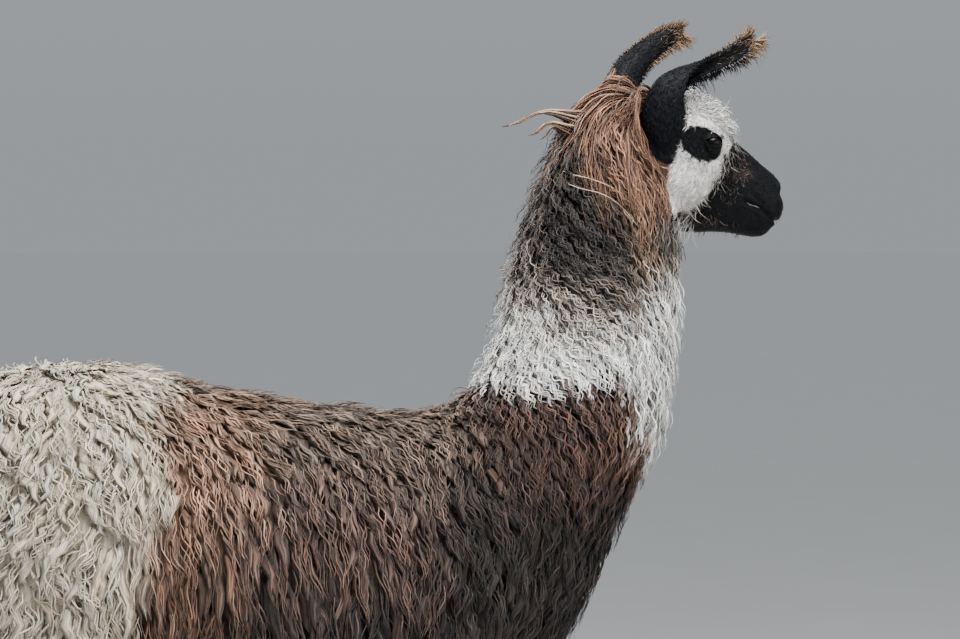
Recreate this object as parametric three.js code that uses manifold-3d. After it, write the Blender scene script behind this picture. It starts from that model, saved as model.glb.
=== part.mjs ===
// A life-size standing llama in full fleece, as a still museum model. Its head is up and turned a little to
// its left.
//
// Millimetres, +Z up. The animal faces -Y, its left side is +X, and the origin is on the floor under the
// middle of its box. Outlines are drawn in the animal's side view, as [forward, height], where forward is
// -Y. Every solid reaches out to the tips of the coat.
import * as THREE from "three";
import { mergeVertices } from "three/addons/utils/BufferGeometryUtils.js";
import Module from "manifold-3d";

const wasm = await Module();
wasm.setup();

// ---- Driving dimensions ---------------------------------------------------------------------------------

const GAP = 0.3; // width of the cut between neighbouring pieces
const FAR = 4000; // size of the boxes that cut, larger than the animal
const KNEE = 335; // height of the cut at the wrist joint of the foreleg
const HOCK = 425; // height of the cut at the hock
const FETLOCK = 92; // height of the cut above the foot
const FLEECE_HEM = 532; // the legs leave the fleece at this height
const EYE_RADIUS = 17.5;

// How finely each body is faceted: the points around a ring, the steps from one ring to the next, and how
// square the ring is, where 2 is an ellipse.
const MESH = {
  trunk: { around: 20, steps: 2, square: 2.3 },
  neck: { around: 16, steps: 2, square: 2.1 },
  head: { around: 16, steps: 2, square: 2.3 },
  tail: { around: 12, steps: 1, square: 2 },
  leg: { around: 12, steps: 1, square: 2.2 },
  toe: { around: 8, steps: 1, square: 2.6 },
  nail: { around: 8, steps: 1, square: 2.4 },
  ear: { around: 7, steps: 2 },
  eye: { around: 14, rows: 9 },
};

// The head's own frame has its origin midway between the eyes. h runs forward along the palate, v up, w to
// the left.
const HEAD_AT = { forward: 720, height: 1607, left: 44 };
const HEAD_PITCH = 25; // degrees, nose down
const HEAD_TURN = 28; // degrees, to the left
const EYE = { h: 3, v: 2, w: 66 };

// Each ring of a body spans from its lower outline point to its upper one, and reaches wide to each side of
// its middle, which lies side to the left. egg moves its widest level down (above 0) or up (below 0).
const ring = (low, high, wide, { side = 0, egg = 0 } = {}) => ({ low, high, wide, side, egg });

// From the buttocks forward to the breast. The croup stands 90 above the lowest of the back, behind the
// neck.
const TRUNK = [
  ring([-668, 930], [-662, 1010], 45),
  ring([-648, 800], [-640, 1105], 150),
  ring([-598, 690], [-585, 1180], 205, { egg: 0.06 }),
  ring([-500, 615], [-490, 1226], 240, { egg: 0.1 }),
  ring([-385, 590], [-385, 1241], 258, { egg: 0.1 }),
  ring([-270, 575], [-270, 1231], 266, { egg: 0.08 }),
  ring([-150, 556], [-150, 1202], 272, { egg: 0.08 }),
  ring([0, 543], [0, 1172], 276, { egg: 0.08 }),
  ring([140, 543], [140, 1157], 270, { egg: 0.06 }),
  ring([260, 556], [260, 1151], 255, { egg: 0.04 }),
  ring([370, 590], [350, 1146], 234, { egg: 0.02 }),
  ring([462, 665], [420, 1120], 205),
  ring([530, 770], [480, 1090], 168),
  ring([578, 870], [540, 1060], 110),
];

// From the breast up to the nape. Low is the nape side of each ring and high is the throat side.
const NECK = [
  ring([190, 900], [430, 640], 170),
  ring([205, 1010], [530, 772], 214),
  ring([240, 1098], [590, 900], 212),
  ring([290, 1158], [644, 1015], 192),
  ring([336, 1198], [682, 1115], 168),
  ring([361, 1262], [700, 1225], 142, { side: 2 }),
  ring([374, 1335], [708, 1322], 128, { side: 6 }),
  ring([394, 1421], [712, 1410], 120, { side: 12 }),
  ring([422, 1508], [716, 1462], 114, { side: 18 }),
  ring([447, 1583], [722, 1506], 106, { side: 26 }),
  ring([482, 1656], [726, 1552], 94, { side: 34 }),
  ring([540, 1704], [724, 1600], 76, { side: 40 }),
  ring([604, 1730], [718, 1652], 54, { side: 43 }),
];

// From the back of the cheeks forward to the lips, in the head's frame as [h, v].
const HEAD = [
  ring([-128, -62], [-120, 30], 44),
  ring([-104, -106], [-94, 66], 64),
  ring([-66, -136], [-58, 82], 74, { egg: -0.04 }),
  ring([-26, -146], [-20, 82], 76, { egg: -0.12 }),
  ring([16, -142], [14, 80], 74, { egg: -0.2 }),
  ring([58, -136], [46, 68], 64, { egg: -0.2 }),
  ring([98, -128], [82, 40], 52, { egg: -0.06 }),
  ring([132, -120], [120, 28], 46, { egg: 0.06 }),
  ring([158, -111], [150, 24], 42, { egg: 0.1 }),
  ring([182, -94], [172, 24], 39, { egg: 0.08 }),
  ring([199, -70], [190, 12], 34, { egg: 0.04 }),
  ring([210, -44], [204, -12], 20),
];

// Legs from inside the fleece down to the pastern. Low is the back of the leg and high its front.
const FORELEG = [
  ring([205, 800], [452, 800], 96),
  ring([222, 700], [446, 700], 92),
  ring([252, 620], [432, 620], 80),
  ring([274, 545], [412, 545], 64),
  ring([288, 470], [398, 470], 53),
  ring([297, 400], [388, 400], 46),
  ring([301, 345], [386, 345], 46),
  ring([305, 290], [377, 290], 39),
  ring([312, 220], [366, 220], 32),
  ring([312, 150], [363, 150], 31),
  ring([307, 100], [370, 100], 35),
  ring([312, 62], [380, 58], 36),
  ring([322, 30], [392, 30], 34),
];
const HIND_LEG = [
  ring([-610, 900], [-290, 900], 132),
  ring([-612, 780], [-272, 770], 124),
  ring([-604, 690], [-288, 670], 108),
  ring([-586, 610], [-342, 590], 90),
  ring([-574, 540], [-404, 515], 68),
  ring([-580, 485], [-450, 458], 54),
  ring([-580, 440], [-468, 415], 47),
  ring([-561, 385], [-474, 375], 42),
  ring([-541, 300], [-472, 300], 36),
  ring([-529, 220], [-468, 220], 33),
  ring([-523, 150], [-464, 150], 32),
  ring([-522, 102], [-454, 98], 35),
  ring([-512, 62], [-444, 58], 36),
  ring([-500, 30], [-434, 30], 34),
];
// Each leg stands at its own place: out to the side, and stepped forward or back.
const LEGS = [
  { name: "foreleg_right", rings: FORELEG, out: -108, step: -14, joint: KNEE, toes: 352 },
  { name: "foreleg_left", rings: FORELEG, out: 108, step: 26, joint: KNEE, toes: 352 },
  { name: "hind_leg_right", rings: HIND_LEG, out: -112, step: 10, joint: HOCK, toes: -470 },
  { name: "hind_leg_left", rings: HIND_LEG, out: 112, step: -30, joint: HOCK, toes: -470 },
];
// A toe, from its heel forward to the root of its nail. It starts just below the floor, where it is cut
// flat.
const TOE = [
  ring([-46, 4], [-38, 34], 12),
  ring([-34, -6], [-28, 52], 20),
  ring([0, -6], [0, 60], 23),
  ring([30, -6], [28, 54], 22),
  ring([50, -4], [44, 34], 17),
  ring([58, 4], [54, 24], 10),
];
const TOE_SPREAD = 22; // from the foot's middle to the middle of each toe

const TAIL = [
  ring([-560, 1108], [-590, 1210], 44),
  ring([-612, 1060], [-664, 1172], 62),
  ring([-636, 990], [-712, 1096], 72),
  ring([-650, 915], [-730, 985], 68),
  ring([-662, 850], [-726, 888], 50),
  ring([-682, 806], [-712, 822], 20),
];

// A nail, from its root on the toe forward and down to its point.
const NAIL = [
  ring([34, 10], [30, 34], 8),
  ring([50, 3], [47, 32], 10),
  ring([62, 1], [61, 22], 8.5),
  ring([74, 1], [73, 6], 4),
];

// The cuts through the body, each by a point and a direction of the side view.
const NECK_BASE = { at: [330, 1190], facing: [0.42, 0.91] };
const NECK_TOP = { at: [634, 1574], facing: [0.88, 0.48] };

// The ears in the head's frame, both drawn as right ears: [h, v, w] along the middle, half the width across,
// the depth of the cup, how far round the cup wraps and how far its open side has turned outwards, both in
// degrees. The left ear is laid back more, and is mirrored after.
const EARS = {
  right: [
    [-80, -32, -49, 26, 22, 150, 0],
    [-106, 14, -60, 35, 37, 142, 0],
    [-104, 64, -71, 29, 31, 125, 8],
    [-84, 98, -77, 20, 20, 106, 32],
    [-46, 138, -79, 20, 14, 95, 55],
    [-16, 178, -76, 22, 12, 90, 60],
    [5, 212, -69, 10, 8, 86, 60],
  ],
  left: [
    [-97, -33, -48, 27, 22, 150, 0],
    [-126, 18, -61, 36, 37, 142, 3],
    [-133, 66, -70, 32, 32, 128, 26],
    [-122, 102, -76, 27, 22, 108, 45],
    [-98, 144, -81, 25, 16, 96, 58],
    [-78, 172, -79, 22, 12, 90, 60],
    [-58, 198, -75, 10, 8, 86, 60],
  ],
};
const EAR_WALL = 7; // thickness of the cup's wall, or most of the cup's depth where that is less
const EAR_WALL_SHARE = 0.6;
const EAR_OPENS = [0.9, -0.2, -0.36]; // the way the cup faces at its root, in the head's frame

// ---- Shapes ---------------------------------------------------------------------------------------------

const inSideView = (forward, height, left = 0) => new THREE.Vector3(left, -forward, height);

// The matrix from the head's frame, as drawn by inSideView, to its place on the neck.
const headPlace = new THREE.Matrix4()
  .makeTranslation(HEAD_AT.left, -HEAD_AT.forward, HEAD_AT.height)
  .multiply(new THREE.Matrix4().makeRotationZ(THREE.MathUtils.degToRad(HEAD_TURN)))
  .multiply(new THREE.Matrix4().makeRotationX(THREE.MathUtils.degToRad(HEAD_PITCH)));

// A smooth run through points, or through numbers, read at t from 0 to 1.
function along(points) {
  return new THREE.CatmullRomCurve3(points, false, "catmullrom", 0.5);
}
function runOf(numbers) {
  return along(numbers.map((n) => new THREE.Vector3(n, 0, 0)));
}

// A solid from a closed geometry, made larger all round by grow.
function solid(geometry, grow = 0) {
  geometry.deleteAttribute("normal");
  geometry.deleteAttribute("uv");
  const merged = mergeVertices(geometry, 1e-3);
  const position = merged.attributes.position;
  const triVerts = new Uint32Array(merged.index.array);
  const make = () =>
    new wasm.Manifold(new wasm.Mesh({ numProp: 3, vertProperties: position.array, triVerts }));
  if (make().volume() < 0)
    for (let i = 0; i < triVerts.length; i += 3)
      [triVerts[i], triVerts[i + 1]] = [triVerts[i + 1], triVerts[i]];
  merged.setIndex(new THREE.BufferAttribute(triVerts, 1));
  merged.computeVertexNormals();
  const outwards = merged.attributes.normal;
  position.array.forEach((x, i) => (position.array[i] = x + grow * outwards.array[i]));
  return make();
}

// A closed body over rows of points, each row a closed loop of the same count, from one end to the other.
// The grid is a sphere's, whose poles go to the middles of the first and last rows.
function over(rows) {
  const count = rows[0].length;
  const sphere = new THREE.SphereGeometry(1, count, rows.length + 1);
  const position = sphere.attributes.position;
  const middle = (row) =>
    row.reduce((sum, p) => sum.add(p), new THREE.Vector3()).divideScalar(count);
  const ends = [middle(rows[0]), middle(rows[rows.length - 1])];
  for (let i = 0; i < position.count; i++) {
    const level = Math.floor(i / (count + 1));
    const turn = i % (count + 1);
    const isEnd = level === 0 || level === rows.length + 1;
    const p = isEnd ? ends[level === 0 ? 0 : 1] : rows[level - 1][turn % count];
    position.setXYZ(i, p.x, p.y, p.z);
  }
  return sphere;
}

// A body through rings, moved out to the side, and forward by step.
function loft(rings, { around, steps, square, out = 0, step = 0 }) {
  const lows = along(rings.map((r) => inSideView(...r.low)));
  const highs = along(rings.map((r) => inSideView(...r.high)));
  const sizes = along(rings.map((r) => new THREE.Vector3(r.wide, r.side, r.egg)));
  const count = (rings.length - 1) * steps;
  const bend = (x) => Math.sign(x) * Math.abs(x) ** (2 / square);
  const rows = [];
  for (let i = 0; i <= count; i++) {
    const low = lows.getPoint(i / count);
    const high = highs.getPoint(i / count);
    const { x: wide, y: side, z: egg } = sizes.getPoint(i / count);
    const row = [];
    for (let k = 0; k < around; k++) {
      const angle = (2 * Math.PI * k) / around;
      const level = bend(Math.sin(angle));
      const p = low.clone().lerp(high, (1 + level) / 2);
      p.x += out + side + wide * bend(Math.cos(angle)) * (1 - egg * level);
      p.y -= step;
      row.push(p);
    }
    rows.push(row);
  }
  return over(rows);
}

// A right ear: a cup that opens along its length, with a wall all round it, that turns as it rises.
function ear(stations) {
  const spine = along(stations.map(([h, v, w]) => inSideView(h, v, w)));
  const opens = inSideView(...EAR_OPENS);
  const [wides, deeps, wraps, turns] = [3, 4, 5, 6].map((k) => runOf(stations.map((row) => row[k])));
  const arc = MESH.ear.around;
  const count = (stations.length - 1) * MESH.ear.steps;
  const rows = [];
  for (let i = 0; i <= count; i++) {
    const t = i / count;
    const centre = spine.getPoint(t);
    const up = spine.getTangent(t);
    const turn = -THREE.MathUtils.degToRad(turns.getPoint(t).x);
    const front = opens.clone().addScaledVector(up, -opens.dot(up)).normalize().applyAxisAngle(up, turn);
    const across = new THREE.Vector3().crossVectors(up, front);
    const wrap = THREE.MathUtils.degToRad(wraps.getPoint(t).x);
    const wall = (inwards) => (k) => {
      const angle = wrap * ((2 * k) / arc - 1);
      const wide = wides.getPoint(t).x - inwards;
      const deep = deeps.getPoint(t).x - inwards;
      return centre
        .clone()
        .addScaledVector(across, wide * Math.sin(angle))
        .addScaledVector(front, -deep * Math.cos(angle));
    };
    const steps = [...Array(arc + 1).keys()];
    const thick = Math.min(EAR_WALL, deeps.getPoint(t).x * EAR_WALL_SHARE);
    rows.push([...steps.map(wall(0)), ...steps.reverse().map(wall(thick))]);
  }
  return over(rows);
}

function ball(radius, centre) {
  return new THREE.SphereGeometry(radius, MESH.eye.around, MESH.eye.rows).translate(...centre);
}

// What of a solid lies beyond a plane of the side view, half a gap clear of it.
function beyond(whole, { at, facing }) {
  const normal = inSideView(...facing).normalize();
  const turned = new THREE.Quaternion().setFromUnitVectors(new THREE.Vector3(0, 0, 1), normal);
  const centre = inSideView(...at).addScaledVector(normal, FAR / 2 + GAP / 2);
  const box = new THREE.BoxGeometry(FAR, FAR, FAR).applyQuaternion(turned);
  return whole.intersect(solid(box.translate(...centre)));
}
const turnedRound = ({ at, facing }) => ({ at, facing: facing.map((x) => -x) });
const above = (whole, height) => beyond(whole, { at: [0, height], facing: [0, 1] });
const below = (whole, height) => beyond(whole, { at: [0, height], facing: [0, -1] });

// ---- The animal -----------------------------------------------------------------------------------------

const union = (solids) => solids.reduce((all, one) => all.add(one));
const byVolume = (a, b) => b.volume() - a.volume();

// The largest single body of a solid.
const largest = (whole) => whole.decompose().sort(byVolume)[0];

// What stands out of a surface, from a body that is rooted in it. The surface is given a gap too large.
const standingOut = (whole, ...surfaces) => largest(whole.subtract(union(surfaces)));

// A loft and the same loft a gap larger all round.
function fitted(rings, options, place = (geometry) => geometry) {
  const made = (grow) => solid(place(loft(rings, options)), grow);
  return { own: made(0), larger: made(GAP) };
}

const inHeadFrame = (geometry) => geometry.applyMatrix4(headPlace);

const trunk = fitted(TRUNK, MESH.trunk);
const neck = fitted(NECK, MESH.neck);
const head = fitted(HEAD, MESH.head, inHeadFrame);
const tail = solid(loft(TAIL, MESH.tail));

const pieces = {};
pieces.tail = standingOut(tail, trunk.larger);
pieces.ear_right = standingOut(solid(inHeadFrame(ear(EARS.right))), head.larger, neck.larger);
pieces.ear_left = standingOut(
  solid(inHeadFrame(ear(EARS.left).scale(-1, 1, 1))),
  head.larger,
  neck.larger,
);

// A leg with its two toes, cut from the fleece down into an upper leg, a shank and a foot, and its nails.
function addLeg({ name, rings, out, step, joint, toes }) {
  const limb = solid(loft(rings, { ...MESH.leg, out, step }));
  const feet = [-TOE_SPREAD, TOE_SPREAD].map((aside) => {
    const place = { out: out + aside, step: step + toes };
    const toe = fitted(TOE, { ...MESH.toe, ...place });
    const nail = solid(loft(NAIL, { ...MESH.nail, ...place }));
    return { toe: toe.own, nail: standingOut(nail, toe.larger, limb) };
  });
  const whole = union([limb, ...feet.map((foot) => foot.toe)]);
  const low = below(whole, FLEECE_HEM);
  pieces[`${name}_upper`] = above(low, joint);
  pieces[`${name}_shank`] = above(below(low, joint), FETLOCK);
  pieces[`${name}_foot`] = above(below(low, FETLOCK), -GAP / 2);
  feet.forEach((foot, i) => {
    const side = i === (out > 0 ? 0 : 1) ? "inner" : "outer";
    pieces[`${name}_nail_${side}`] = above(foot.nail, -GAP / 2);
  });
  return above(whole, FLEECE_HEM);
}
const thighs = LEGS.map(addLeg);

// The head, neck and trunk are one body, cut apart behind the jaw and at the base of the neck.
const body = union([above(trunk.own, FLEECE_HEM), neck.own, head.own, ...thighs]);
const front = beyond(body, NECK_BASE);
pieces.trunk = beyond(body, turnedRound(NECK_BASE));
pieces.neck = beyond(front, turnedRound(NECK_TOP));
pieces.head = beyond(front, NECK_TOP);

for (const [side, sign] of Object.entries({ right: -1, left: 1 })) {
  const centre = inSideView(EYE.h, EYE.v, sign * EYE.w);
  pieces[`eye_${side}`] = solid(inHeadFrame(ball(EYE_RADIUS, centre)));
  pieces.head = pieces.head.subtract(solid(inHeadFrame(ball(EYE_RADIUS + GAP, centre))));
}

// ---- Meshes ---------------------------------------------------------------------------------------------

const LOOKS = {
  head: { color: "#cfc3b4", roughness: 0.9 },
  neck: { color: "#6f5546", roughness: 0.95 },
  trunk: { color: "#5a463c", roughness: 0.95 },
  tail: { color: "#ded3c4", roughness: 0.95 },
  ear: { color: "#3b3a42", roughness: 0.6 },
  eye: { color: "#0b0908", roughness: 0.08 },
  foreleg: { color: "#2e2521", roughness: 0.9 },
  hind_leg: { color: "#cfc1ae", roughness: 0.9 },
  nail: { color: "#2b2622", roughness: 0.45 },
};

// A node has the look of the last kind that its name holds, so a leg's nail is a nail.
function lookOf(name) {
  const kinds = Object.keys(LOOKS).filter((kind) => name.includes(kind));
  return LOOKS[kinds[kinds.length - 1]];
}

function meshOf(name, manifold) {
  const { vertProperties, triVerts } = manifold.getMesh();
  const geometry = new THREE.BufferGeometry();
  geometry.setAttribute("position", new THREE.BufferAttribute(new Float32Array(vertProperties), 3));
  geometry.setIndex(new THREE.BufferAttribute(new Uint32Array(triVerts), 1));
  const material = new THREE.MeshStandardMaterial({ ...lookOf(name), metalness: 0 });
  const mesh = new THREE.Mesh(geometry, material);
  mesh.name = name;
  return mesh;
}

const llama = new THREE.Group();
llama.name = "llama";
for (const [name, manifold] of Object.entries(pieces)) llama.add(meshOf(name, manifold));

// The origin goes on the floor, under the middle of the animal's box.
const box = new THREE.Box3().setFromObject(llama);
const middle = box.getCenter(new THREE.Vector3());
for (const mesh of llama.children) mesh.geometry.translate(-middle.x, -middle.y, -box.min.z);

export default llama;
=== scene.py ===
"""A life-size llama in long fleece: its skin, head, eyes, nails and coat over the CAD frame.

Meshes are in metres in the row frame. Places on the animal are drawn in millimetres, as forward, height and
left in its side view, or in the head's own frame, whose origin lies midway between the eyes: h runs forward
along the palate, v up and w to the animal's left.
"""

import math

import bmesh
import bpy
import numpy as np
from mathutils import Matrix, Vector, noise
from mathutils.bvhtree import BVHTree
from mathutils.kdtree import KDTree


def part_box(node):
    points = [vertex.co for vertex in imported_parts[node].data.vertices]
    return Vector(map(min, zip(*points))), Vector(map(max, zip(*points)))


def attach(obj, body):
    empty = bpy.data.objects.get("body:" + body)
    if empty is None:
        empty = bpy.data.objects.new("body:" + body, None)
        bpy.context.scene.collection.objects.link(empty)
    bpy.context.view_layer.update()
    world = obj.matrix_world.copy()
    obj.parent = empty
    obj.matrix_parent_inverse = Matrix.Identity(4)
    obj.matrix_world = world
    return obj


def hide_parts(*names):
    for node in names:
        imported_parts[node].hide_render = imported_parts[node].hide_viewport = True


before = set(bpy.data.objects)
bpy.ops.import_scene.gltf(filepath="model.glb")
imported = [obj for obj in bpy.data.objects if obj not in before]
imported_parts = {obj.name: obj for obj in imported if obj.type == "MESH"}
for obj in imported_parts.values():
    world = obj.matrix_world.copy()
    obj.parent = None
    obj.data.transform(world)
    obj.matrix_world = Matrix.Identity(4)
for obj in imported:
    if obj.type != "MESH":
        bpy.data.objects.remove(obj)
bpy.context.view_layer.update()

# ---- Driving dimensions ----

MM = 0.001
HEAD_AT = (44, 720, 1607)  # left, forward and height of the head's origin
HEAD_PITCH = 25  # degrees, nose down
HEAD_TURN = 28  # degrees, to the left
EYE_AT = (3, 2, 66)  # h, v and w of the left eye
EYE_RADIUS = 17.3
HEM = 532  # the legs leave the fleece at this height

BODY_VOXEL = 0.014  # how fine the skin is
HEAD_VOXEL = 0.003
LEG_VOXEL = 0.0056
SOLE_GAP = 0.0005  # the skin stands this far off the floor
GRID = 0.014  # spacing of the grid that holds the distance to the skin
GRID_REACH = 0.08  # the grid tells distances up to this

CAMERA_AIM = (350, 1299)  # forward and height
CAMERA_DISTANCE = 8.0
CAMERA_ABOVE = 2.2  # degrees
VIEW_WIDTH = 1.68  # metres across the picture, at the animal

PATCH = 0.003  # width of a lock's patch on the map that is baked

TOPKNOT_LOCKS = 100000.0  # to the square metre of skin, as are the next three
FACE_HAIRS = (48000.0, 42000.0)  # on the cheeks and on the brow
EAR_HAIRS = 42000.0
LEG_HAIRS = (16000.0, 8000.0)  # at the foot and above it
SPARSE = 100  # a fringe of fewer hairs than this is of fine single ones
HEAD_OUTSIDE = 130.0  # millimetres out from the middle of the head, where nothing of it reaches

# ---- Frames ----


def turn_matrix(axis, degrees):
    return np.array(Matrix.Rotation(math.radians(degrees), 3, axis.upper()))


HEAD_TURNED = turn_matrix("z", HEAD_TURN) @ turn_matrix("x", HEAD_PITCH)


def drawn_from_head(h, v, w):
    """Drawn points, as left, backward and height in millimetres, from the head's frame."""
    local = np.stack(np.broadcast_arrays(w, np.negative(h), v), -1)
    return local @ HEAD_TURNED.T + np.array([HEAD_AT[0], -HEAD_AT[1], HEAD_AT[2]])


def row_shift():
    """How far back the row frame puts the drawing, which the right eye's place in the frame tells."""
    low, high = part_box("eye_right")
    drawn = drawn_from_head(EYE_AT[0], EYE_AT[1], -EYE_AT[2])
    return (low.y + high.y) / 2 - drawn[1] * MM


ROW_BACK = row_shift()


def from_head(h, v, w):
    points = drawn_from_head(h, v, w) * MM
    points[..., 1] += ROW_BACK
    return points


def to_head(points):
    """h, v and w of row points, in millimetres."""
    drawn = (points - np.array([0, ROW_BACK, 0])) / MM
    local = (drawn - np.array([HEAD_AT[0], -HEAD_AT[1], HEAD_AT[2]])) @ HEAD_TURNED
    return -local[..., 1], local[..., 2], local[..., 0]


def place(forward, height, left=0.0):
    """Row points from the side view."""
    back = np.multiply(forward, -MM) + ROW_BACK
    parts = np.broadcast_arrays(np.multiply(left, MM), back, np.multiply(height, MM))
    return np.stack(parts, -1).astype(float)


def side_view(points):
    """Forward, height and left of row points, in millimetres."""
    return (ROW_BACK - points[..., 1]) / MM, points[..., 2] / MM, points[..., 0] / MM


# ---- Numbers ----


def unit(vectors):
    return vectors / np.maximum(np.linalg.norm(vectors, axis=-1, keepdims=True), 1e-9)


def dots(a, b):
    return (a * b).sum(-1)


def flat_on(vectors, normals):
    """The directions of vectors, laid flat on the surface with those normals."""
    return unit(vectors - dots(vectors, normals)[..., None] * normals)


def ease(low, high, x):
    """0 below low, 1 above high and smooth between. low may be the higher of the two."""
    t = np.clip((np.asarray(x, float) - low) / (high - low), 0, 1)
    return t * t * (3 - 2 * t)


def bump(x, width):
    return np.exp(-np.square(x / width))


def mix(a, b, t):
    return a + (b - a) * t


def paleness(colours):
    """0 for the dark colours, 1 for the pale ones."""
    return ease(0.12, 0.5, colours.mean(1))


def blend(a, b, share):
    """Colours or vectors drawn from a towards b, each by its own share."""
    return a + (b - a) * np.asarray(share)[..., None]


def wander(points, size, seed=0):
    """Smooth noise from about -1 to 1, that changes over size metres."""
    shift = Vector((seed * 17.3, seed * 5.1, seed * 9.7))
    return np.array([noise.noise(Vector(p) / size + shift) for p in points]) * 1.6


def smooth_run(knots, count):
    """count points along a Catmull-Rom curve through knots."""
    knots = np.asarray(knots, float)
    at = np.linspace(0, len(knots) - 1, count)
    i = np.minimum(at.astype(int), len(knots) - 2)
    t = (at - i).reshape(-1, *[1] * (knots.ndim - 1))
    padded = np.concatenate([2 * knots[:1] - knots[1:2], knots, 2 * knots[-1:] - knots[-2:-1]])
    a, b, c, d = (padded[i + k] for k in range(4))
    return 0.5 * (2 * b + (c - a) * t + (2 * a - 5 * b + 4 * c - d) * t**2 + (3 * b - 3 * c + d - a) * t**3)


# ---- Meshes as arrays ----


def tube(rows):
    """Vertices and faces of a closed body over rows of points, each row a closed loop."""
    count, around = rows.shape[:2]
    verts = np.concatenate([rows.reshape(-1, 3), rows[0].mean(0)[None], rows[-1].mean(0)[None]])
    i, k = np.meshgrid(np.arange(count - 1), np.arange(around), indexing="ij")
    k2 = (k + 1) % around
    quads = np.stack([i * around + k, i * around + k2, (i + 1) * around + k2, (i + 1) * around + k], -1)
    ring = np.arange(around)
    after = (ring + 1) % around
    first, last = len(verts) - 2, len(verts) - 1
    start = np.stack([np.full(around, first), after, ring], -1)
    top = (count - 1) * around
    end = np.stack([np.full(around, last), top + ring, top + after], -1)
    return verts, quads.reshape(-1, 4).tolist() + start.tolist() + end.tolist()


def read(items, field, width, kind=float):
    """A field of a mesh's vertices, corners or faces, a row for each."""
    values = np.zeros(len(items) * width, kind)
    items.foreach_get(field, values)
    return values.reshape(-1, width)


def mesh_arrays(mesh):
    return read(mesh.vertices, "co", 3), [tuple(p.vertices) for p in mesh.polygons]


def new_mesh(name, verts, faces):
    mesh = bpy.data.meshes.new(name)
    mesh.from_pydata(verts.tolist(), [], faces)
    return mesh


def new_object(name, data):
    made = bpy.data.objects.new(name, data)
    bpy.context.scene.collection.objects.link(made)
    return made


def new_bmesh(verts, faces):
    mesh = new_mesh("part", verts, faces)
    bm = bmesh.new()
    bm.from_mesh(mesh)
    bpy.data.meshes.remove(mesh)
    return bm


def finished(bm, name):
    """The mesh that a bmesh has come to, smooth and with its faces outwards. The bmesh is freed."""
    bmesh.ops.recalc_face_normals(bm, faces=bm.faces[:])
    mesh = bpy.data.meshes.new(name)
    bm.to_mesh(mesh)
    bm.free()
    mesh.shade_smooth()
    return mesh


def taken(bm):
    """The vertices and faces of a bmesh, which is freed."""
    bm.verts.index_update()
    arrays = np.array([v.co for v in bm.verts]), [tuple(v.index for v in f.verts) for f in bm.faces]
    bm.free()
    return arrays


def joined(parts):
    verts, faces, count = [], [], 0
    for part_verts, part_faces in parts:
        verts.append(part_verts)
        faces += [tuple(v + count for v in face) for face in part_faces]
        count += len(part_verts)
    return np.concatenate(verts), faces


def voxel_union(parts, voxel):
    """One closed mesh round all the parts, in quads, as vertices and an array of faces."""
    union = new_mesh("union", *joined(parts))
    holder = new_object("union", union)
    remesh = holder.modifiers.new("remesh", "REMESH")
    remesh.mode = "VOXEL"
    remesh.voxel_size = voxel
    bpy.context.view_layer.update()
    made = bpy.data.meshes.new_from_object(holder.evaluated_get(bpy.context.evaluated_depsgraph_get()))
    verts, quads = read(made.vertices, "co", 3), read(made.loops, "vertex_index", 1, int).reshape(-1, 4)
    bpy.data.objects.remove(holder)
    bpy.data.meshes.remove(union)
    bpy.data.meshes.remove(made)
    return verts, quads


def triangles_of(quads):
    return np.concatenate([quads[:, [0, 1, 2]], quads[:, [0, 2, 3]]])


def normals_of(verts, tris):
    a, b, c = (verts[tris[:, k]] for k in range(3))
    face = np.cross(b - a, c - a)
    sums = [sum(np.bincount(tris[:, k], face[:, axis], len(verts)) for k in range(3)) for axis in range(3)]
    return unit(np.stack(sums, -1))


def smoothed(verts, quads, times, keep=None, back=-0.61):
    """Vertices moved to the middle of their neighbours, then back, which keeps the volume.

    keep, from 0 to 1 at each vertex, holds it where it is.
    """
    count = len(verts)
    a = quads.ravel()
    b = np.roll(quads, -1, 1).ravel()
    degree = np.maximum(np.bincount(a, minlength=count) + np.bincount(b, minlength=count), 1)
    free = 1.0 if keep is None else (1 - keep)[:, None]
    for turn in range(times * 2):
        sums = [np.bincount(a, verts[b, k], count) + np.bincount(b, verts[a, k], count) for k in range(3)]
        total = np.stack(sums, -1)
        pull = 0.6 if turn % 2 == 0 else back
        verts = verts + (total / degree[:, None] - verts) * pull * free
    return verts


def cut_off(bm, at, facing):
    """Takes away what lies behind a plane, and leaves the cut open."""
    everything = bm.verts[:] + bm.edges[:] + bm.faces[:]
    bmesh.ops.bisect_plane(bm, geom=everything, plane_co=at, plane_no=facing, clear_inner=True)


def cut_part(verts, faces, at, facing):
    """What lies beyond a plane, as a bmesh."""
    bm = new_bmesh(verts, [tuple(f) for f in faces])
    cut_off(bm, at, facing)
    return bm


# ---- The coat's map ----

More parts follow.
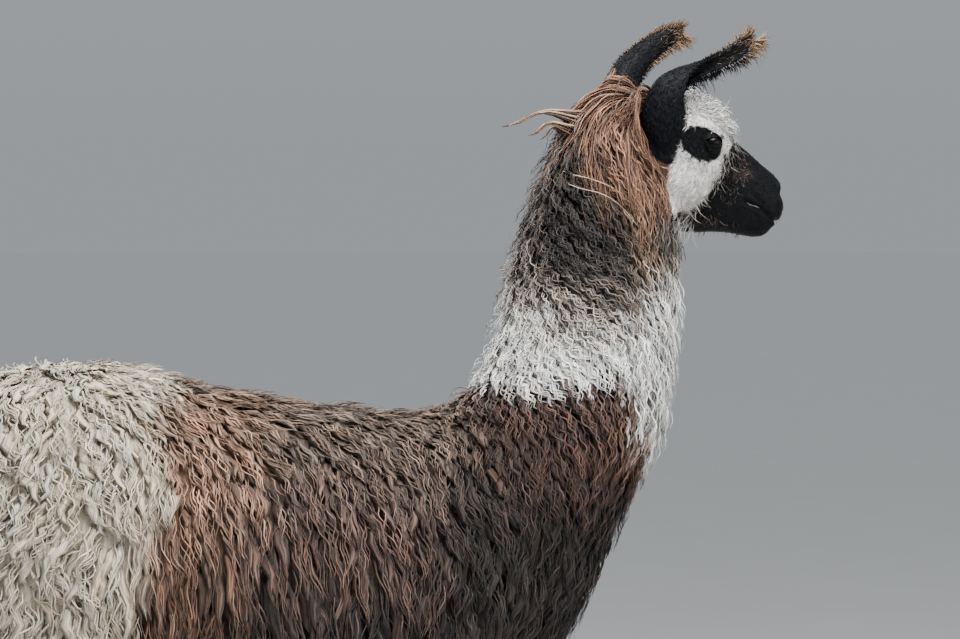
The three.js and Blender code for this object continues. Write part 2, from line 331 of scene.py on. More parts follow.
# How the coat lies and how long it is, at places of the side view. lie is the way that it points, forward
# and up. depth is how high it stands over the skin, and wave how far a lock swings to each side.
AREAS = np.array(
    [
        # forward, height, lie forward, lie up, length, depth, wave, wavelength, width
        (-640, 1060, -0.10, -1.0, 85, 30, 5, 60, 22),  # buttocks
        (-520, 1200, -0.45, -0.7, 70, 28, 5, 56, 22),  # croup
        (-390, 1235, 0.10, -0.7, 66, 26, 6, 46, 20),
        (-400, 1080, 0.20, -1.0, 80, 32, 8, 52, 22),  # rump
        (-400, 880, 0.15, -1.0, 90, 34, 8, 58, 22),
        (-480, 680, 0.05, -1.0, 85, 30, 5, 60, 22),  # thigh
        (-250, 1225, 0.60, -0.6, 56, 24, 4.0, 44, 16),
        (-60, 1185, 0.90, -0.6, 60, 24, 3.4, 50, 16),  # back
        (150, 1158, 0.80, -0.7, 60, 24, 3.4, 46, 15),
        (-120, 1050, 0.42, -1.0, 78, 29, 4.4, 52, 17),
        (100, 1040, 0.48, -1.0, 76, 29, 4.2, 50, 16),
        (-120, 850, 0.05, -1.0, 115, 34, 4.2, 84, 18),  # flank
        (120, 850, 0.12, -1.0, 110, 34, 4.2, 76, 18),
        (-100, 640, 0.00, -1.0, 120, 34, 4.5, 90, 20),
        (150, 640, 0.00, -1.0, 115, 34, 4.5, 90, 20),
        (0, 550, -0.60, -0.6, 80, 26, 5.0, 60, 20),  # belly
        (340, 1000, 0.30, -1.0, 76, 30, 4.2, 44, 15),  # shoulder
        (380, 800, 0.10, -1.0, 84, 30, 4.6, 56, 16),
        (340, 620, 0.00, -1.0, 64, 22, 4.4, 46, 16),
        (560, 900, -0.15, -1.0, 72, 28, 4.2, 44, 15),  # breast
        (300, 1180, 0.50, -0.9, 54, 25, 3.4, 32, 13),
        (480, 1090, 0.40, -1.0, 62, 27, 3.6, 34, 13),  # base of the neck
        (640, 1060, 0.05, -1.0, 62, 26, 3.6, 34, 13),
        (370, 1290, 0.15, -1.0, 54, 27, 4.6, 23, 11),  # nape
        (400, 1460, 0.10, -1.0, 54, 30, 4.6, 22, 11),
        (450, 1600, 0.15, -1.0, 56, 34, 4.4, 22, 11),
        (500, 1230, 0.60, -0.9, 64, 26, 4.2, 26, 12),  # side of the neck
        (540, 1400, 1.1, -0.5, 56, 25, 4.0, 23, 11),
        (540, 1550, 0.70, -0.85, 60, 24, 3.0, 24, 11),
        (690, 1180, 0.10, -1.0, 62, 26, 3.6, 34, 13),  # front of the neck
        (700, 1340, 0.40, -1.0, 60, 25, 3.2, 34, 12),
        (690, 1440, 0.10, -1.0, 48, 20, 2.6, 28, 11),  # throat
        (640, 1560, 0.20, -1.0, 64, 20, 2.2, 36, 11),  # behind the cheek
        (590, 1690, -0.45, -0.8, 64, 18, 1.8, 40, 11),  # poll
        (340, 520, 0.00, -1.0, 36, 12, 1.5, 18, 7),  # legs
        (345, 420, 0.00, -1.0, 20, 6, 0.3, 20, 3.2),
        (340, 250, 0.00, -1.0, 15, 4.5, 0.2, 20, 2.8),
        (-500, 560, 0.00, -1.0, 50, 18, 3.0, 30, 12),
        (-510, 450, 0.00, -1.0, 22, 7, 0.4, 20, 3.4),
        (-500, 250, 0.00, -1.0, 15, 4.5, 0.2, 20, 2.8),
        (350, 40, 0.05, -1.0, 7, 3.0, 0.0, 20, 1.8),  # feet
        (-470, 40, 0.05, -1.0, 7, 3.0, 0.0, 20, 1.8),
        (-700, 1060, -0.35, -1.0, 95, 26, 5, 50, 15),  # tail
        (-700, 900, -0.05, -1.0, 85, 26, 5, 50, 14),
    ],
    float,
)
LIE_FORWARD, LIE_UP, LENGTH, DEPTH, WAVE, WAVELENGTH, WIDTH = range(2, 9)
AREA_REACH = 95.0  # millimetres over which one area gives way to the next
RUMP_FROM = (-200, -300)  # the rump's coat begins to swirl here, and does so fully here
SWIRL = (0.5, 1.25)  # how much the coat strays from its lie before the rump, and on it


def area_values(points):
    """The row of AREAS that holds at each point, smoothly from one area to the next."""
    forward, height, _ = side_view(points)
    apart = np.square(forward[:, None] - AREAS[:, 0]) + np.square(height[:, None] - AREAS[:, 1])
    nearest = apart.min(1, keepdims=True)
    weight = np.exp(-(apart - nearest) / (2 * AREA_REACH**2)) / (apart + 40**2)
    return weight @ AREAS / weight.sum(1, keepdims=True)


def lie_of(points, values=None):
    """The way that the coat points, before it is laid on the skin. Over the back it falls to both sides."""
    values = area_values(points) if values is None else values
    left = points[:, 0]
    outwards = left / (np.abs(left) + 0.03)
    lie = np.stack([outwards * 0.55, -values[:, LIE_FORWARD], values[:, LIE_UP]], -1)
    forward, height, _ = side_view(points)
    with_head = ease(540, 620, forward) * ease(1470, 1540, height)
    return mix(lie, lie @ turn_matrix("z", HEAD_TURN).T, with_head[:, None])


# ---- Markings ----


def srgb(text):
    """The linear colour of six hex digits."""
    parts = np.array([int(text[i : i + 2], 16) for i in (0, 2, 4)]) / 255
    return np.where(parts < 0.04045, parts / 12.92, ((parts + 0.055) / 1.055) ** 2.4)


CREAM = srgb("d0c4b0")
SNOW = srgb("faf8f3")
FACE_WHITE = srgb("e2e1de")
RUST = srgb("84604c")
TOPKNOT = srgb("7f5b47")
LIGHT_BROWN = srgb("a07c65")
BACK_BROWN = srgb("6f5e52")
FLANK_BROWN = srgb("5b453c")
# partly the coat's own dark brown, partly painted shade low on the body
FLANK_DARK_AND_SHADE = srgb("231a16")
NECK_BROWN = srgb("432e26")
NECK_GREY = srgb("1e1917")
NAPE_GREY = srgb("50453f")
NECK_TAN = srgb("75604f")
COLLAR_GREY = srgb("93877e")
FACE_BLACK = srgb("07090c")
EAR_BLACK = srgb("0c0e13")
MUZZLE_BROWN = srgb("3d2d2a")
THROAT_GREY = srgb("4a4541")
EAR_TAN = srgb("7d6650")
LEG_BROWN = srgb("3a2c27")

# Edges between markings, as pairs: height and forward for the rump and the nape, forward and height for the
# collar, and v and h for the muzzle.
RUMP_EDGE = [(500, -330), (640, -275), (740, -250), (880, -222), (985, -180), (1106, -200), (1210, -172)]
NAPE = [(1200, 350), (1290, 362), (1460, 392), (1600, 445), (1700, 530)]
COLLAR_LOW = [
    *[(330, 1180), (367, 1190), (472, 1200), (525, 1205)],
    *[(577, 1222), (605, 1205), (630, 1160), (664, 1058)],
]
COLLAR_HIGH = [
    *[(367, 1328), (425, 1314), (485, 1300), (545, 1294)],
    *[(592, 1304), (625, 1352), (682, 1400), (705, 1428)],
]
MUZZLE_EDGE = [
    *[(-152, -90), (-142, -30), (-134, 4), (-120, 28), (-91, 39), (-70, 42)],
    *[(-39, 48), (-20, 41), (-8, 37), (20, 52), (50, 80)],
]


def edge_at(edge, x):
    """Where an edge between markings lies at x, straight from one of its places to the next."""
    return np.interp(x, *zip(*edge))


def body_markings(points, rough=1.0):
    """The coat's colour over the trunk, neck, tail and legs."""
    forward, height, _ = side_view(points)
    fine = wander(points, 0.035, 1) * 16 * rough
    broad = wander(points, 0.16, 2)
    f = forward + fine + broad * 18
    z = height + fine + broad * 12
    colour = np.tile(FLANK_BROWN, (len(points), 1))
    # Painted shade in part: the lower flank and the shoulder take a darker brown that is partly the coat's
    # own colour and partly shade from the light above.
    dark = np.maximum(ease(900, 740, z), ease(220, 330, f) * ease(1120, 1060, z))
    colour = blend(colour, FLANK_DARK_AND_SHADE, dark)
    colour = blend(colour, BACK_BROWN, ease(930, 1130, z) * ease(400, 250, f))
    colour = blend(colour, NECK_BROWN, ease(280, 420, f) * ease(960, 1080, z))
    colour = blend(colour, RUST, 0.45 * bump(f - 650, 50) * bump(z - 1120, 100))
    rump = edge_at(RUMP_EDGE, z)
    patch = ease(rump + 240, rump + 60, f) * ease(1200, 1120, z)
    colour = blend(colour, blend(RUST * 0.6, LIGHT_BROWN, ease(780, 940, z)), 0.95 * patch)
    colour = blend(colour, CREAM, ease(rump + 14, rump - 14, f))
    neck = ease(300, 345, f) * ease(1000, 1060, z + 0.1 * f)
    low, high = edge_at(COLLAR_LOW, f), edge_at(COLLAR_HIGH, f)
    nape = ease(90, 20, f - edge_at(NAPE, z))
    upper = blend(np.tile(NECK_GREY, (len(points), 1)), NAPE_GREY, nape)
    upper = blend(upper, COLLAR_GREY, bump(z - high - 10, 60))
    colour = blend(colour, upper, neck * ease(high - 40, high + 44, z))
    colour = blend(colour, SNOW, neck * ease(low - 8, low + 8, z) * ease(high + 44, high - 40, z))
    topknot = ease(90, 34, line_distance(f, z, (584, 1700), (668, 1420)))
    colour = blend(colour, blend(NECK_TAN, RUST, ease(1450, 1540, z)), 0.85 * topknot * ease(1385, 1440, z))
    fore = ease(640, 520, height) * ease(100, 160, forward)
    colour = blend(colour, LEG_BROWN, fore)
    hind = ease(-200, -260, forward)
    return blend(colour, CREAM * 0.96, hind * ease(520, 470, height))


def line_distance(f, z, a, b):
    """How far each place of the side view is from the line from a to b."""
    run = np.subtract(b, a).astype(float)
    t = np.clip(((f - a[0]) * run[0] + (z - a[1]) * run[1]) / (run @ run), 0, 1)
    return np.hypot(f - a[0] - t * run[0], z - a[1] - t * run[1])


def head_markings(points, rough=1.0):
    """The face: white brow and cheeks, black eye patch, muzzle, jaw and the fur in front of the ear."""
    h, v, w = to_head(points)
    fine = wander(points, 0.012, 3) * 5 * rough
    h, v = h + fine, v - fine * 0.7
    edge = edge_at(MUZZLE_EDGE, v)
    black = ease(edge - 3, edge + 4, h)
    eye = np.hypot((h + 15) / 43, (v + 7 - 0.05 * h) / 29.5)
    black = np.maximum(black, ease(1.06, 0.94, eye) * ease(30, 45, np.abs(w)))
    behind = ease(-56, -64, h + 0.4 * (v + 20)) * ease(-66, -48, v) * ease(50, 30, v)
    black = np.maximum(black, behind * ease(30, 44, np.abs(w)))
    colour = blend(np.tile(FACE_WHITE, (len(points), 1)), FACE_BLACK, black)
    warm = bump(h - 98, 18) * bump(v + 14 - 0.4 * (h - 100), 11) * ease(12, 26, np.abs(w))
    warm = warm * (0.7 + 0.5 * wander(points, 0.006, 6))
    colour = blend(colour, MUZZLE_BROWN, 0.7 * warm)
    chin = bump(h - 62, 16) * bump(v + 128, 10)
    return blend(colour, MUZZLE_BROWN, 0.4 * chin)


def face_share(points):
    """1 on the face, 0 on the neck and the fur behind the cheek and over the poll."""
    h, v, _ = to_head(points)
    ahead = h * math.cos(math.radians(HEAD_PITCH)) + v * math.sin(math.radians(HEAD_PITCH))
    cheek = ease(-74, -66, ahead + ease(0, -60, v) * 6 + ease(-34, -12, v) * 10) * ease(-168, -146, v)
    return mix(cheek, ease(-86, -72, h), ease(28, 44, v))


def markings(points, rough=1.0):
    """The colour of the skin and the coat, with its edges more or less rough."""
    h, _, _ = to_head(points)
    colour = body_markings(points, rough)
    near = h > -160
    if near.any():
        share = face_share(points[near])
        h, v, _ = to_head(points[near])
        throat = ease(-50, -30, h) * ease(-196, -184, v)
        colour[near] = blend(colour[near], THROAT_GREY, 0.9 * throat)
        colour[near] = blend(colour[near], head_markings(points[near], rough), share)
        under_ear = np.hypot((h + 70) / 22, (v + 59) / 10)
        colour[near] = blend(colour[near], FACE_BLACK, ease(1.1, 0.8, under_ear))
        colour[near] = blend(colour[near], EAR_BLACK, ear_share(points[near]))
    return colour


# ---- The skin ----

FLESH = [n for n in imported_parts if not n.startswith(("eye", "ear")) and "nail" not in n]
LEG_NODES = [n for n in FLESH if n.endswith(("_upper", "_shank", "_foot"))]
CLOSE_CUTS = 0.001  # the CAD pieces swell by this to close the thin cuts between them
TAIL_CORE = (0.42, 0.62, 0.8)  # how much of the tail's width, depth and height is flesh


def cad_parts(nodes):
    """The meshes of CAD nodes, swollen a little, and the tail without its hair."""
    parts = []
    for node in nodes:
        verts, faces = mesh_arrays(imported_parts[node].data)
        if node == "tail":
            root = np.array([verts[:, 0].mean(), verts[:, 1].min() + 0.02, verts[:, 2].max() - 0.05])
            verts = root + (verts - root) * TAIL_CORE
        low, high = verts.min(0), verts.max(0)
        verts, faces = weld(verts, faces)
        swell = normals_of(verts, np.array([f[:3] for f in faces])) * CLOSE_CUTS
        parts.append((np.clip(verts + swell, low - 0.01, high + 0.01), faces))
    return parts


def weld(verts, faces):
    """The same mesh with vertices at one place made one."""
    _, first, same = np.unique(np.round(verts, 6), axis=0, return_index=True, return_inverse=True)
    same = same.ravel()
    faces = [tuple(same[v] for v in f) for f in faces]
    return verts[first], [f for f in faces if len(set(f)) == len(f)]


def body_skin():
    """The skin of the whole animal but its ears, under the coat, coarse."""
    verts, quads = voxel_union(cad_parts(FLESH), BODY_VOXEL)
    tris = triangles_of(quads)
    forward, height, _ = side_view(verts)
    slender = ease(620, 500, height)
    verts = smoothed(verts, quads, 12, 0.9 * slender, -0.2)
    before_tail = ease(-670, -640, forward)
    depth = area_values(verts)[:, DEPTH] * MM * before_tail
    for _ in range(3):
        verts = verts - normals_of(verts, tris) * depth[:, None] / 3
        verts = smoothed(verts, quads, 3)
    verts[:, 2] = np.maximum(verts[:, 2], SOLE_GAP)
    return verts, quads


def leg_skin():
    """The skin of the legs and feet under their short hair, fine."""
    verts, quads = voxel_union(cad_parts(LEG_NODES), LEG_VOXEL)
    verts = smoothed(verts, quads, 5)
    tris = triangles_of(quads)
    depth = area_values(verts)[:, DEPTH] * MM
    sole = ease(0.012, 0.002, verts[:, 2])
    verts = verts - normals_of(verts, tris) * (depth * (1 - sole))[:, None]
    verts[:, 2] = np.maximum(verts[:, 2], SOLE_GAP)
    return verts, quads


# The skull under its skin, from the poll to the lips: h, top, bottom, level of the widest place, half width,
# and how square it is above and below that level.
SKULL = [
    (-122, 18, -58, -20, 40, 2.0, 2.0),
    (-104, 48, -96, -12, 56, 2.1, 2.0),
    (-70, 68, -124, -2, 65, 2.2, 1.9),
    (-34, 74, -146, 2, 69, 2.3, 1.8),
    (0, 72, -151, 5, 70, 2.4, 1.75),
    (26, 63, -151, 2, 66, 2.4, 1.8),
    (50, 50, -146, -12, 58, 2.2, 1.9),
    (74, 40, -137, -26, 50, 2.1, 2.0),
    (98, 36, -126, -32, 44, 2.1, 2.1),
    (122, 31, -115, -36, 40, 2.2, 2.2),
    (146, 25, -107, -36, 38, 2.3, 2.3),
    (168, 21, -101, -38, 37, 2.4, 2.3),
    (186, 12, -94, -40, 35, 2.4, 2.2),
    (200, -4, -84, -44, 30, 2.3, 2.1),
    (209, -18, -62, -40, 23, 2.2, 2.0),
    (214, -28, -50, -38, 14, 2.0, 2.0),
]


def skull_part():
    """The head without its ears, as rings of 72 points that are rounded or squared by their station."""
    stations = smooth_run(SKULL, 90)
    angle = np.linspace(0, 2 * np.pi, 72, endpoint=False)
    rows = []
    for h, top, bottom, middle, wide, square_up, square_down in stations:
        up = np.sin(angle) >= 0
        power = 2 / np.where(up, square_up, square_down)
        reach = np.where(up, top - middle, middle - bottom)
        v = middle + reach * np.sign(np.sin(angle)) * np.abs(np.sin(angle)) ** power
        w = wide * np.sign(np.cos(angle)) * np.abs(np.cos(angle)) ** power
        rows.append(from_head(np.full_like(v, h), v, w))
    return tube(np.array(rows))


# Each ear, from its root up: h, v and the distance out of its middle, its half width, the depth of its cup,
# how far the cup wraps round, its wall's thickness, and how far its opening turns outwards, in degrees.
EARS = {
    "right": [
        (-67, -44, 44, 10, 8, 170, 8, 0),
        (-83, -28, 50, 25, 24, 168, 9, 0),
        (-100, -2, 57, 31, 34, 160, 9, 0),
        (-110, 40, 66, 31, 34, 145, 8, 0),
        (-100, 72, 72, 23, 26, 120, 6, 15),
        (-86, 95, 77, 16, 18, 105, 5, 30),
        (-66, 117, 79, 14.5, 13, 95, 5, 45),
        (-46, 138, 79, 15, 10, 90, 5, 55),
        (-25, 163, 78, 16, 8, 85, 4, 60),
        (-10, 186, 74, 13, 6, 80, 4, 60),
        (-1, 202, 70, 5, 4, 80, 3, 60),
    ],
    "left": [
        (-84, -50, 42, 10, 8, 170, 8, 0),
        (-100, -28, 50, 26, 24, 168, 9, 0),
        (-119, 4, 58, 32, 34, 160, 9, 0),
        (-133, 38, 66, 31, 34, 145, 8, 10),
        (-133, 70, 71, 27, 26, 120, 6, 30),
        (-122, 102, 76, 23, 19, 100, 5, 45),
        (-106, 131, 80, 21, 14, 92, 5, 55),
        (-89, 157, 81, 19, 10, 88, 4, 60),
        (-76, 174, 78, 13, 7, 85, 4, 60),
        (-66, 183, 76, 5, 4, 80, 3, 60),
    ],
}
WIDE, CUP, WRAP, WALL, TURN = range(3, 8)
EAR_OPENS = (0.9, -0.2, -0.36)  # the way that an ear's cup faces, by h, v and outwards


def ear_frame(side):
    """An ear's middle line as w, -h and v, with the ways up it, to its open side and across."""
    stations = smooth_run(EARS[side], 60)
    middle = np.stack([-stations[:, 2], -stations[:, 0], stations[:, 1]], -1)
    opens = np.array([EAR_OPENS[2], -EAR_OPENS[0], EAR_OPENS[1]])
    up = unit(np.gradient(middle, axis=0))
    straight = flat_on(np.tile(opens, (len(up), 1)), up)
    aside = np.cross(up, straight)
    turn = np.radians(stations[:, TURN])[:, None]
    front = straight * np.cos(turn) - aside * np.sin(turn)
    across = aside * np.cos(turn) + straight * np.sin(turn)
    if side == "left":
        mirror = np.array([-1, 1, 1])
        middle, up, front, across = (a * mirror for a in (middle, up, front, across))
    return stations, middle, up, front, across


def local_to_row(local):
    """Row points from points as w, -h and v."""
    return from_head(-local[..., 1], local[..., 2], local[..., 0])


def ear_points(side, across, outer):
    """A grid of row points over one face of an ear. across runs from -1 at one edge to 1 at the other."""
    stations, middle, _, front, sideways = ear_frame(side)
    angle = np.radians(stations[:, WRAP])[:, None] * across[None, :]
    thin = 0 if outer else np.minimum(stations[:, WALL], stations[:, CUP] * 0.6)
    grid = (
        middle[:, None]
        + sideways[:, None] * ((stations[:, WIDE] - thin)[:, None] * np.sin(angle))[..., None]
        - front[:, None] * ((stations[:, CUP] - thin)[:, None] * np.cos(angle))[..., None]
    )
    return local_to_row(grid)


def ear_part(side):
    """An ear, as a wall with an outer and an inner face."""
    across = np.linspace(-1, 1, 25)
    outer = ear_points(side, across, True)
    inner = ear_points(side, across[::-1], False)
    rows = np.concatenate([outer, inner], 1)
    if side == "left":
        rows = rows[:, ::-1]
    return tube(rows)


def ear_share(points):
    """1 on the ears, 0 on the rest of the head."""
    share = np.zeros(len(points))
    h, v, w = to_head(points)
    near = np.nonzero((h < 14) & (h > -200) & (v > -75) & (np.abs(w) > 20))[0]
    local = np.stack([w, -h, v], -1)[near]
    for side in ("right", "left"):
        stations, middle, _, _, _ = ear_frame(side)
        reach = np.maximum(stations[:, WIDE], stations[:, CUP]) + 3
        apart = np.linalg.norm(local[:, None] - middle[None], axis=2) / reach
        share[near] = np.maximum(share[near], ease(1.35, 1.08, apart.min(1)))
    return share


def face_detail(points):
    """How far the skin of the head stands out, in millimetres: brow, cheek, nostrils, lips and mouth."""
    h, v, w = to_head(points)
    a = np.abs(w)
    on_side = ease(14, 30, a)
    move = 4.0 * bump(h + 2, 26) * bump(v - 31, 12) * on_side  # brow over the eye
    move -= 3.0 * bump(h - 40, 18) * bump(v - 28, 14) * on_side  # hollow in front of the brow
    move += 3.0 * bump(h - 40, 40) * bump(v + 30 + 0.1 * h, 9) * on_side  # crest of the cheek
    move -= 3.0 * bump(h - 92, 30) * bump(v + 4, 16) * on_side  # hollow beside the nose
    move += 4.0 * bump(h + 18, 40) * bump(v + 78, 34) * on_side  # cheek muscle
    move -= 2.5 * bump(h - 86, 22) * bump(v + 62, 24) * on_side  # hollow of the cheek
    move += 2.5 * bump(h - 190, 18) * bump(v + 30, 14)  # upper lip
    move += 2.5 * bump(h - 186, 20) * bump(v + 84, 12)  # chin
    mouth_line = -56 + 3.0 * bump(h - 150, 22)
    reach = ease(112, 128, h)
    deep = 4.0 + 5.0 * ease(180, 206, h)
    move -= deep * bump(v - mouth_line, 3.2) * reach  # mouth
    move += 1.6 * bump(v - mouth_line - 8, 5) * reach + 1.2 * bump(v - mouth_line + 8, 5) * reach
    slit = np.hypot((h - 178 + 0.55 * v) / 3.4, v / 9.5)
    move -= 8.0 * np.exp(-np.square(slit)) * bump(a - 19, 9) * ease(4, 9, a)  # nostril
    rim = np.hypot((h - 186 + 0.55 * v) / 5, (v - 1) / 12)
    move += 3.0 * np.exp(-np.square(rim)) * bump(a - 17, 9)
    move -= 3.5 * bump(w, 2.4) * ease(188, 200, h) * ease(-56, -44, v)  # split of the upper lip
    move -= 3.5 * bump(v + 8, 7) * ease(176, 192, h)  # between the nose and the lip
    move += 3.0 * bump(h - 150, 16) * bump(v + 34 + 0.25 * (h - 150), 6) * on_side  # fold over the lip
    move -= 2.0 * bump(h - 150, 18) * bump(v + 44 + 0.25 * (h - 150), 5) * on_side
    return move


LID_RADIUS = 19.2  # of the lids over the eyeball
LID_REACH = 34  # how far the lids reach from the middle of the eye
OPENING = (17.5, 10.5)  # half width and half height between the lids


def with_lids(points):
    """Draws the skin over each eyeball as lids, and behind it in the opening between them."""
    h, v, w = to_head(points)
    for sign in (-1, 1):
        dh, dv, dw = h - EYE_AT[0], v - EYE_AT[1], w * sign - EYE_AT[2]
        ring = np.hypot(dh, dv)
        near = (ring < LID_REACH) & (dw > -20)
        lens = np.abs(dv - 0.15 * dh) / OPENING[1] + np.square(dh / OPENING[0])
        lid = np.sqrt(np.maximum(LID_RADIUS**2 - ring**2, 0)) - 6 * ease(LID_RADIUS - 1, 30, ring)
        over = 0.5 * (dw + lid + np.sqrt(np.square(dw - lid) + 16)) - 1.2 * bump(ring - 23, 3) * (dv > 0)
        socket = np.sqrt(np.maximum(EYE_RADIUS**2 - ring**2, 0)) - 4
        level = mix(socket, over, ease(0.9, 1.04, lens))
        level = mix(dw, level, ease(LID_REACH - 1, 25, ring))
        w = np.where(near, sign * (EYE_AT[2] + level), w)
    return from_head(h, v, w)


SEAM = {"at": (585, 1585), "facing": (0.93, 0.37)}  # where the fine skin of the head meets that of the neck
SEAM_WIDTH = 0.006  # between the rims that are joined
LEG_SEAM = 470  # the height where that of the legs does
NECK_KEPT = 0.04  # how much of the neck below the seam is blended into the fine head


def seam_plane(back=0.0):
    """A point of the neck's seam, or so far behind it, and the way that it faces."""
    normal = Vector((0, -SEAM["facing"][0], SEAM["facing"][1])).normalized()
    return Vector(place(*SEAM["at"])) - normal * back, normal


def middle_of(edge):
    return (edge.verts[0].co + edge.verts[1].co) / 2


def stitch(bm):
    """Joins the two rims of each seam: the neck's and those of the four legs."""
    seams = {}
    for edge in [e for e in bm.edges if e.is_boundary]:
        middle = middle_of(edge)
        seam = "neck" if middle.z > 1.0 else (middle.x > 0, middle.y > 0.1)
        seams.setdefault(seam, []).append(edge)
    for edges in seams.values():
        bmesh.ops.bridge_loops(bm, edges=edges)


def subdivide_near_eyes(bm):
    """Makes the mesh finer round the eyes, and finer again nearest to them."""
    centres = [Vector(from_head(EYE_AT[0], EYE_AT[1], sign * EYE_AT[2])) for sign in (-1, 1)]
    for reach in (0.034, 0.026):
        near = [e for e in bm.edges if min((middle_of(e) - centre).length for centre in centres) < reach]
        bmesh.ops.subdivide_edges(bm, edges=near, cuts=1, use_grid_fill=True)


DRAWN_WITHIN = 0.006  # metres between a vertex and the surface that it moves to


def drawn_to(verts, surface, share):
    """Vertices moved onto a surface, by their share, where it is near."""
    tree = BVHTree.FromPolygons(surface[0].tolist(), surface[1])
    moved = verts.copy()
    for i in np.nonzero(share > 0.01)[0]:
        nearest = tree.find_nearest(Vector(verts[i]), DRAWN_WITHIN)[0]
        if nearest is not None:
            moved[i] += (np.array(nearest) - verts[i]) * share[i]
    return moved


def head_skin(body):
    """The head, its ears and the top of the neck, fine."""
    neck = cut_part(*body, *seam_plane(NECK_KEPT))
    bmesh.ops.holes_fill(neck, edges=[e for e in neck.edges if e.is_boundary], sides=0)
    parts = [taken(neck), skull_part(), ear_part("right"), ear_part("left")]
    verts, quads = voxel_union(parts, HEAD_VOXEL)
    verts = smoothed(verts, quads, 4)
    h, v, w = to_head(verts)
    ear_root = ease(-20, -34, h) * ease(-140, -126, h) * ease(8, -8, v) * ease(26, 36, np.abs(w))
    verts = smoothed(verts, quads, 24, 1 - ear_root)
    verts = drawn_to(verts, joined(parts[2:]), ear_share(verts) * (1 - ear_root))
    verts = smoothed(verts, quads, 2)
    normals = normals_of(verts, triangles_of(quads))
    return verts + normals * (face_detail(verts) * MM)[:, None], quads


def whole_skin():
    """The skin as one closed mesh: the head and the legs fine, the rest coarse."""
    body = body_skin()
    head = cut_part(*head_skin(body), *seam_plane())
    subdivide_near_eyes(head)
    verts, faces = taken(head)
    low = Vector((0, 0, LEG_SEAM * MM))
    legs = cut_part(*leg_skin(), low, Vector((0, 0, -1)))
    rest = cut_part(*body, low + Vector((0, 0, SEAM_WIDTH)), Vector((0, 0, 1)))
    at, normal = seam_plane(SEAM_WIDTH)
    cut_off(rest, at, -normal)
    skin = new_bmesh(*joined([(with_lids(verts), faces), taken(legs), taken(rest)]))
    stitch(skin)
    bmesh.ops.triangulate(skin, faces=skin.faces[:])
    return finished(skin, "skin")


def unwrapped(mesh):
    """Lays the skin out flat, as the map OFBake, where each lock of the coat has its patch at its root."""
    mesh.uv_layers.new(name="OFBake")
    skin = new_object("skin", mesh)
    bpy.context.view_layer.objects.active = skin
    skin.select_set(True)
    bpy.ops.object.mode_set(mode="EDIT")
    bpy.ops.mesh.select_all(action="SELECT")
    bpy.ops.uv.smart_project(angle_limit=math.radians(80), island_margin=0.002)
    bpy.ops.object.mode_set(mode="OBJECT")
    return skin


class Skin:
    """The skin's triangles as arrays, to root the coat in."""

    def __init__(self, mesh):
        self.verts = read(mesh.vertices, "co", 3)
        self.tris = read(mesh.polygons, "vertices", 3, int)
        self.uv = read(mesh.uv_layers["OFBake"].data, "uv", 2).reshape(-1, 3, 2)
        self.normals = normals_of(self.verts, self.tris)
        corners = self.verts[self.tris]
        sides = corners[:, 1:] - corners[:, :1]
        self.areas = np.linalg.norm(np.cross(sides[:, 0], sides[:, 1]), axis=1) / 2
        self.centres = corners.mean(1)
        self.tree = BVHTree.FromPolygons(self.verts.tolist(), self.tris.tolist())

    def scatter(self, rng, density):
        """Places over the skin, so many to the square metre on each triangle: points, normals and map."""
        total = np.cumsum(self.areas * density)
        count = int(total[-1])
        picks = (np.arange(count) + rng.random(count)) * total[-1] / count
        tri = np.minimum(np.searchsorted(total, picks), len(total) - 1)
        a, b = rng.random(count), rng.random(count)
        flip = a + b > 1
        a, b = np.where(flip, 1 - a, a), np.where(flip, 1 - b, b)
        share = np.stack([1 - a - b, a, b], -1)[..., None]
        points = (self.verts[self.tris[tri]] * share).sum(1)
        normals = unit((self.normals[self.tris[tri]] * share).sum(1))
        return points, normals, (self.uv[tri] * share).sum(1)

    def nearest_places(self, points):
        """The place on the map of the skin nearest to each point."""
        return np.array([self.uv[self.tree.find_nearest(Vector(p))[2]].mean(0) for p in points])

    def from_side(self, outside, towards, reach):
        """Where lines from outside meet the skin: which do, and the points, normals and places on the map."""
        met, points, normals, places = [], [], [], []
        for i, start in enumerate(outside):
            way = Vector(towards[i] - start).normalized()
            found, _, tri, _ = self.tree.ray_cast(Vector(start), way, reach)
            if found is not None:
                met.append(i)
                points.append(found)
                normals.append(unit(self.normals[self.tris[tri]].mean(0)))
                places.append(self.uv[tri].mean(0))
        return np.array(met), np.array(points), np.array(normals), np.array(places)


class Ground:
    """Distance to the skin, and the way out of it, held on a grid."""

    def __init__(self, skin):
        reach = int(GRID_REACH / GRID)
        self.low = skin.verts.min(0) - GRID_REACH - GRID
        shape = np.ceil((skin.verts.max(0) + GRID_REACH + 2 * GRID - self.low) / GRID).astype(int)
        near = np.zeros(shape, bool)
        near[tuple(((skin.verts - self.low) / GRID).round().astype(int).T)] = True
        for axis in range(3):
            spread = near.copy()
            for step in range(1, reach + 1):
                spread |= np.roll(near, step, axis) | np.roll(near, -step, axis)
            near = spread
        distance = np.full(shape, GRID_REACH)
        for cell in np.argwhere(near):
            point = Vector(self.low + cell * GRID)
            nearest, normal, _, apart = skin.tree.find_nearest(point, GRID_REACH)
            if nearest is not None:
                distance[tuple(cell)] = apart if (point - nearest).dot(normal) > 0 else -apart
        self.values = np.stack([distance, *np.gradient(distance)], -1)

    def at(self, points):
        """The distance at each point, and the way out."""
        where = np.clip((points - self.low) / GRID, 0, np.array(self.values.shape[:3]) - 1.001)
        cell = where.astype(int)
        part = where - cell
        found = 0
        for corner in np.ndindex(2, 2, 2):
            weight = np.where(corner, part, 1 - part).prod(-1)
            found = found + weight[..., None] * self.values[tuple((cell + corner).T)]
        return found[..., 0], unit(found[..., 1:])


# ---- Locks ----


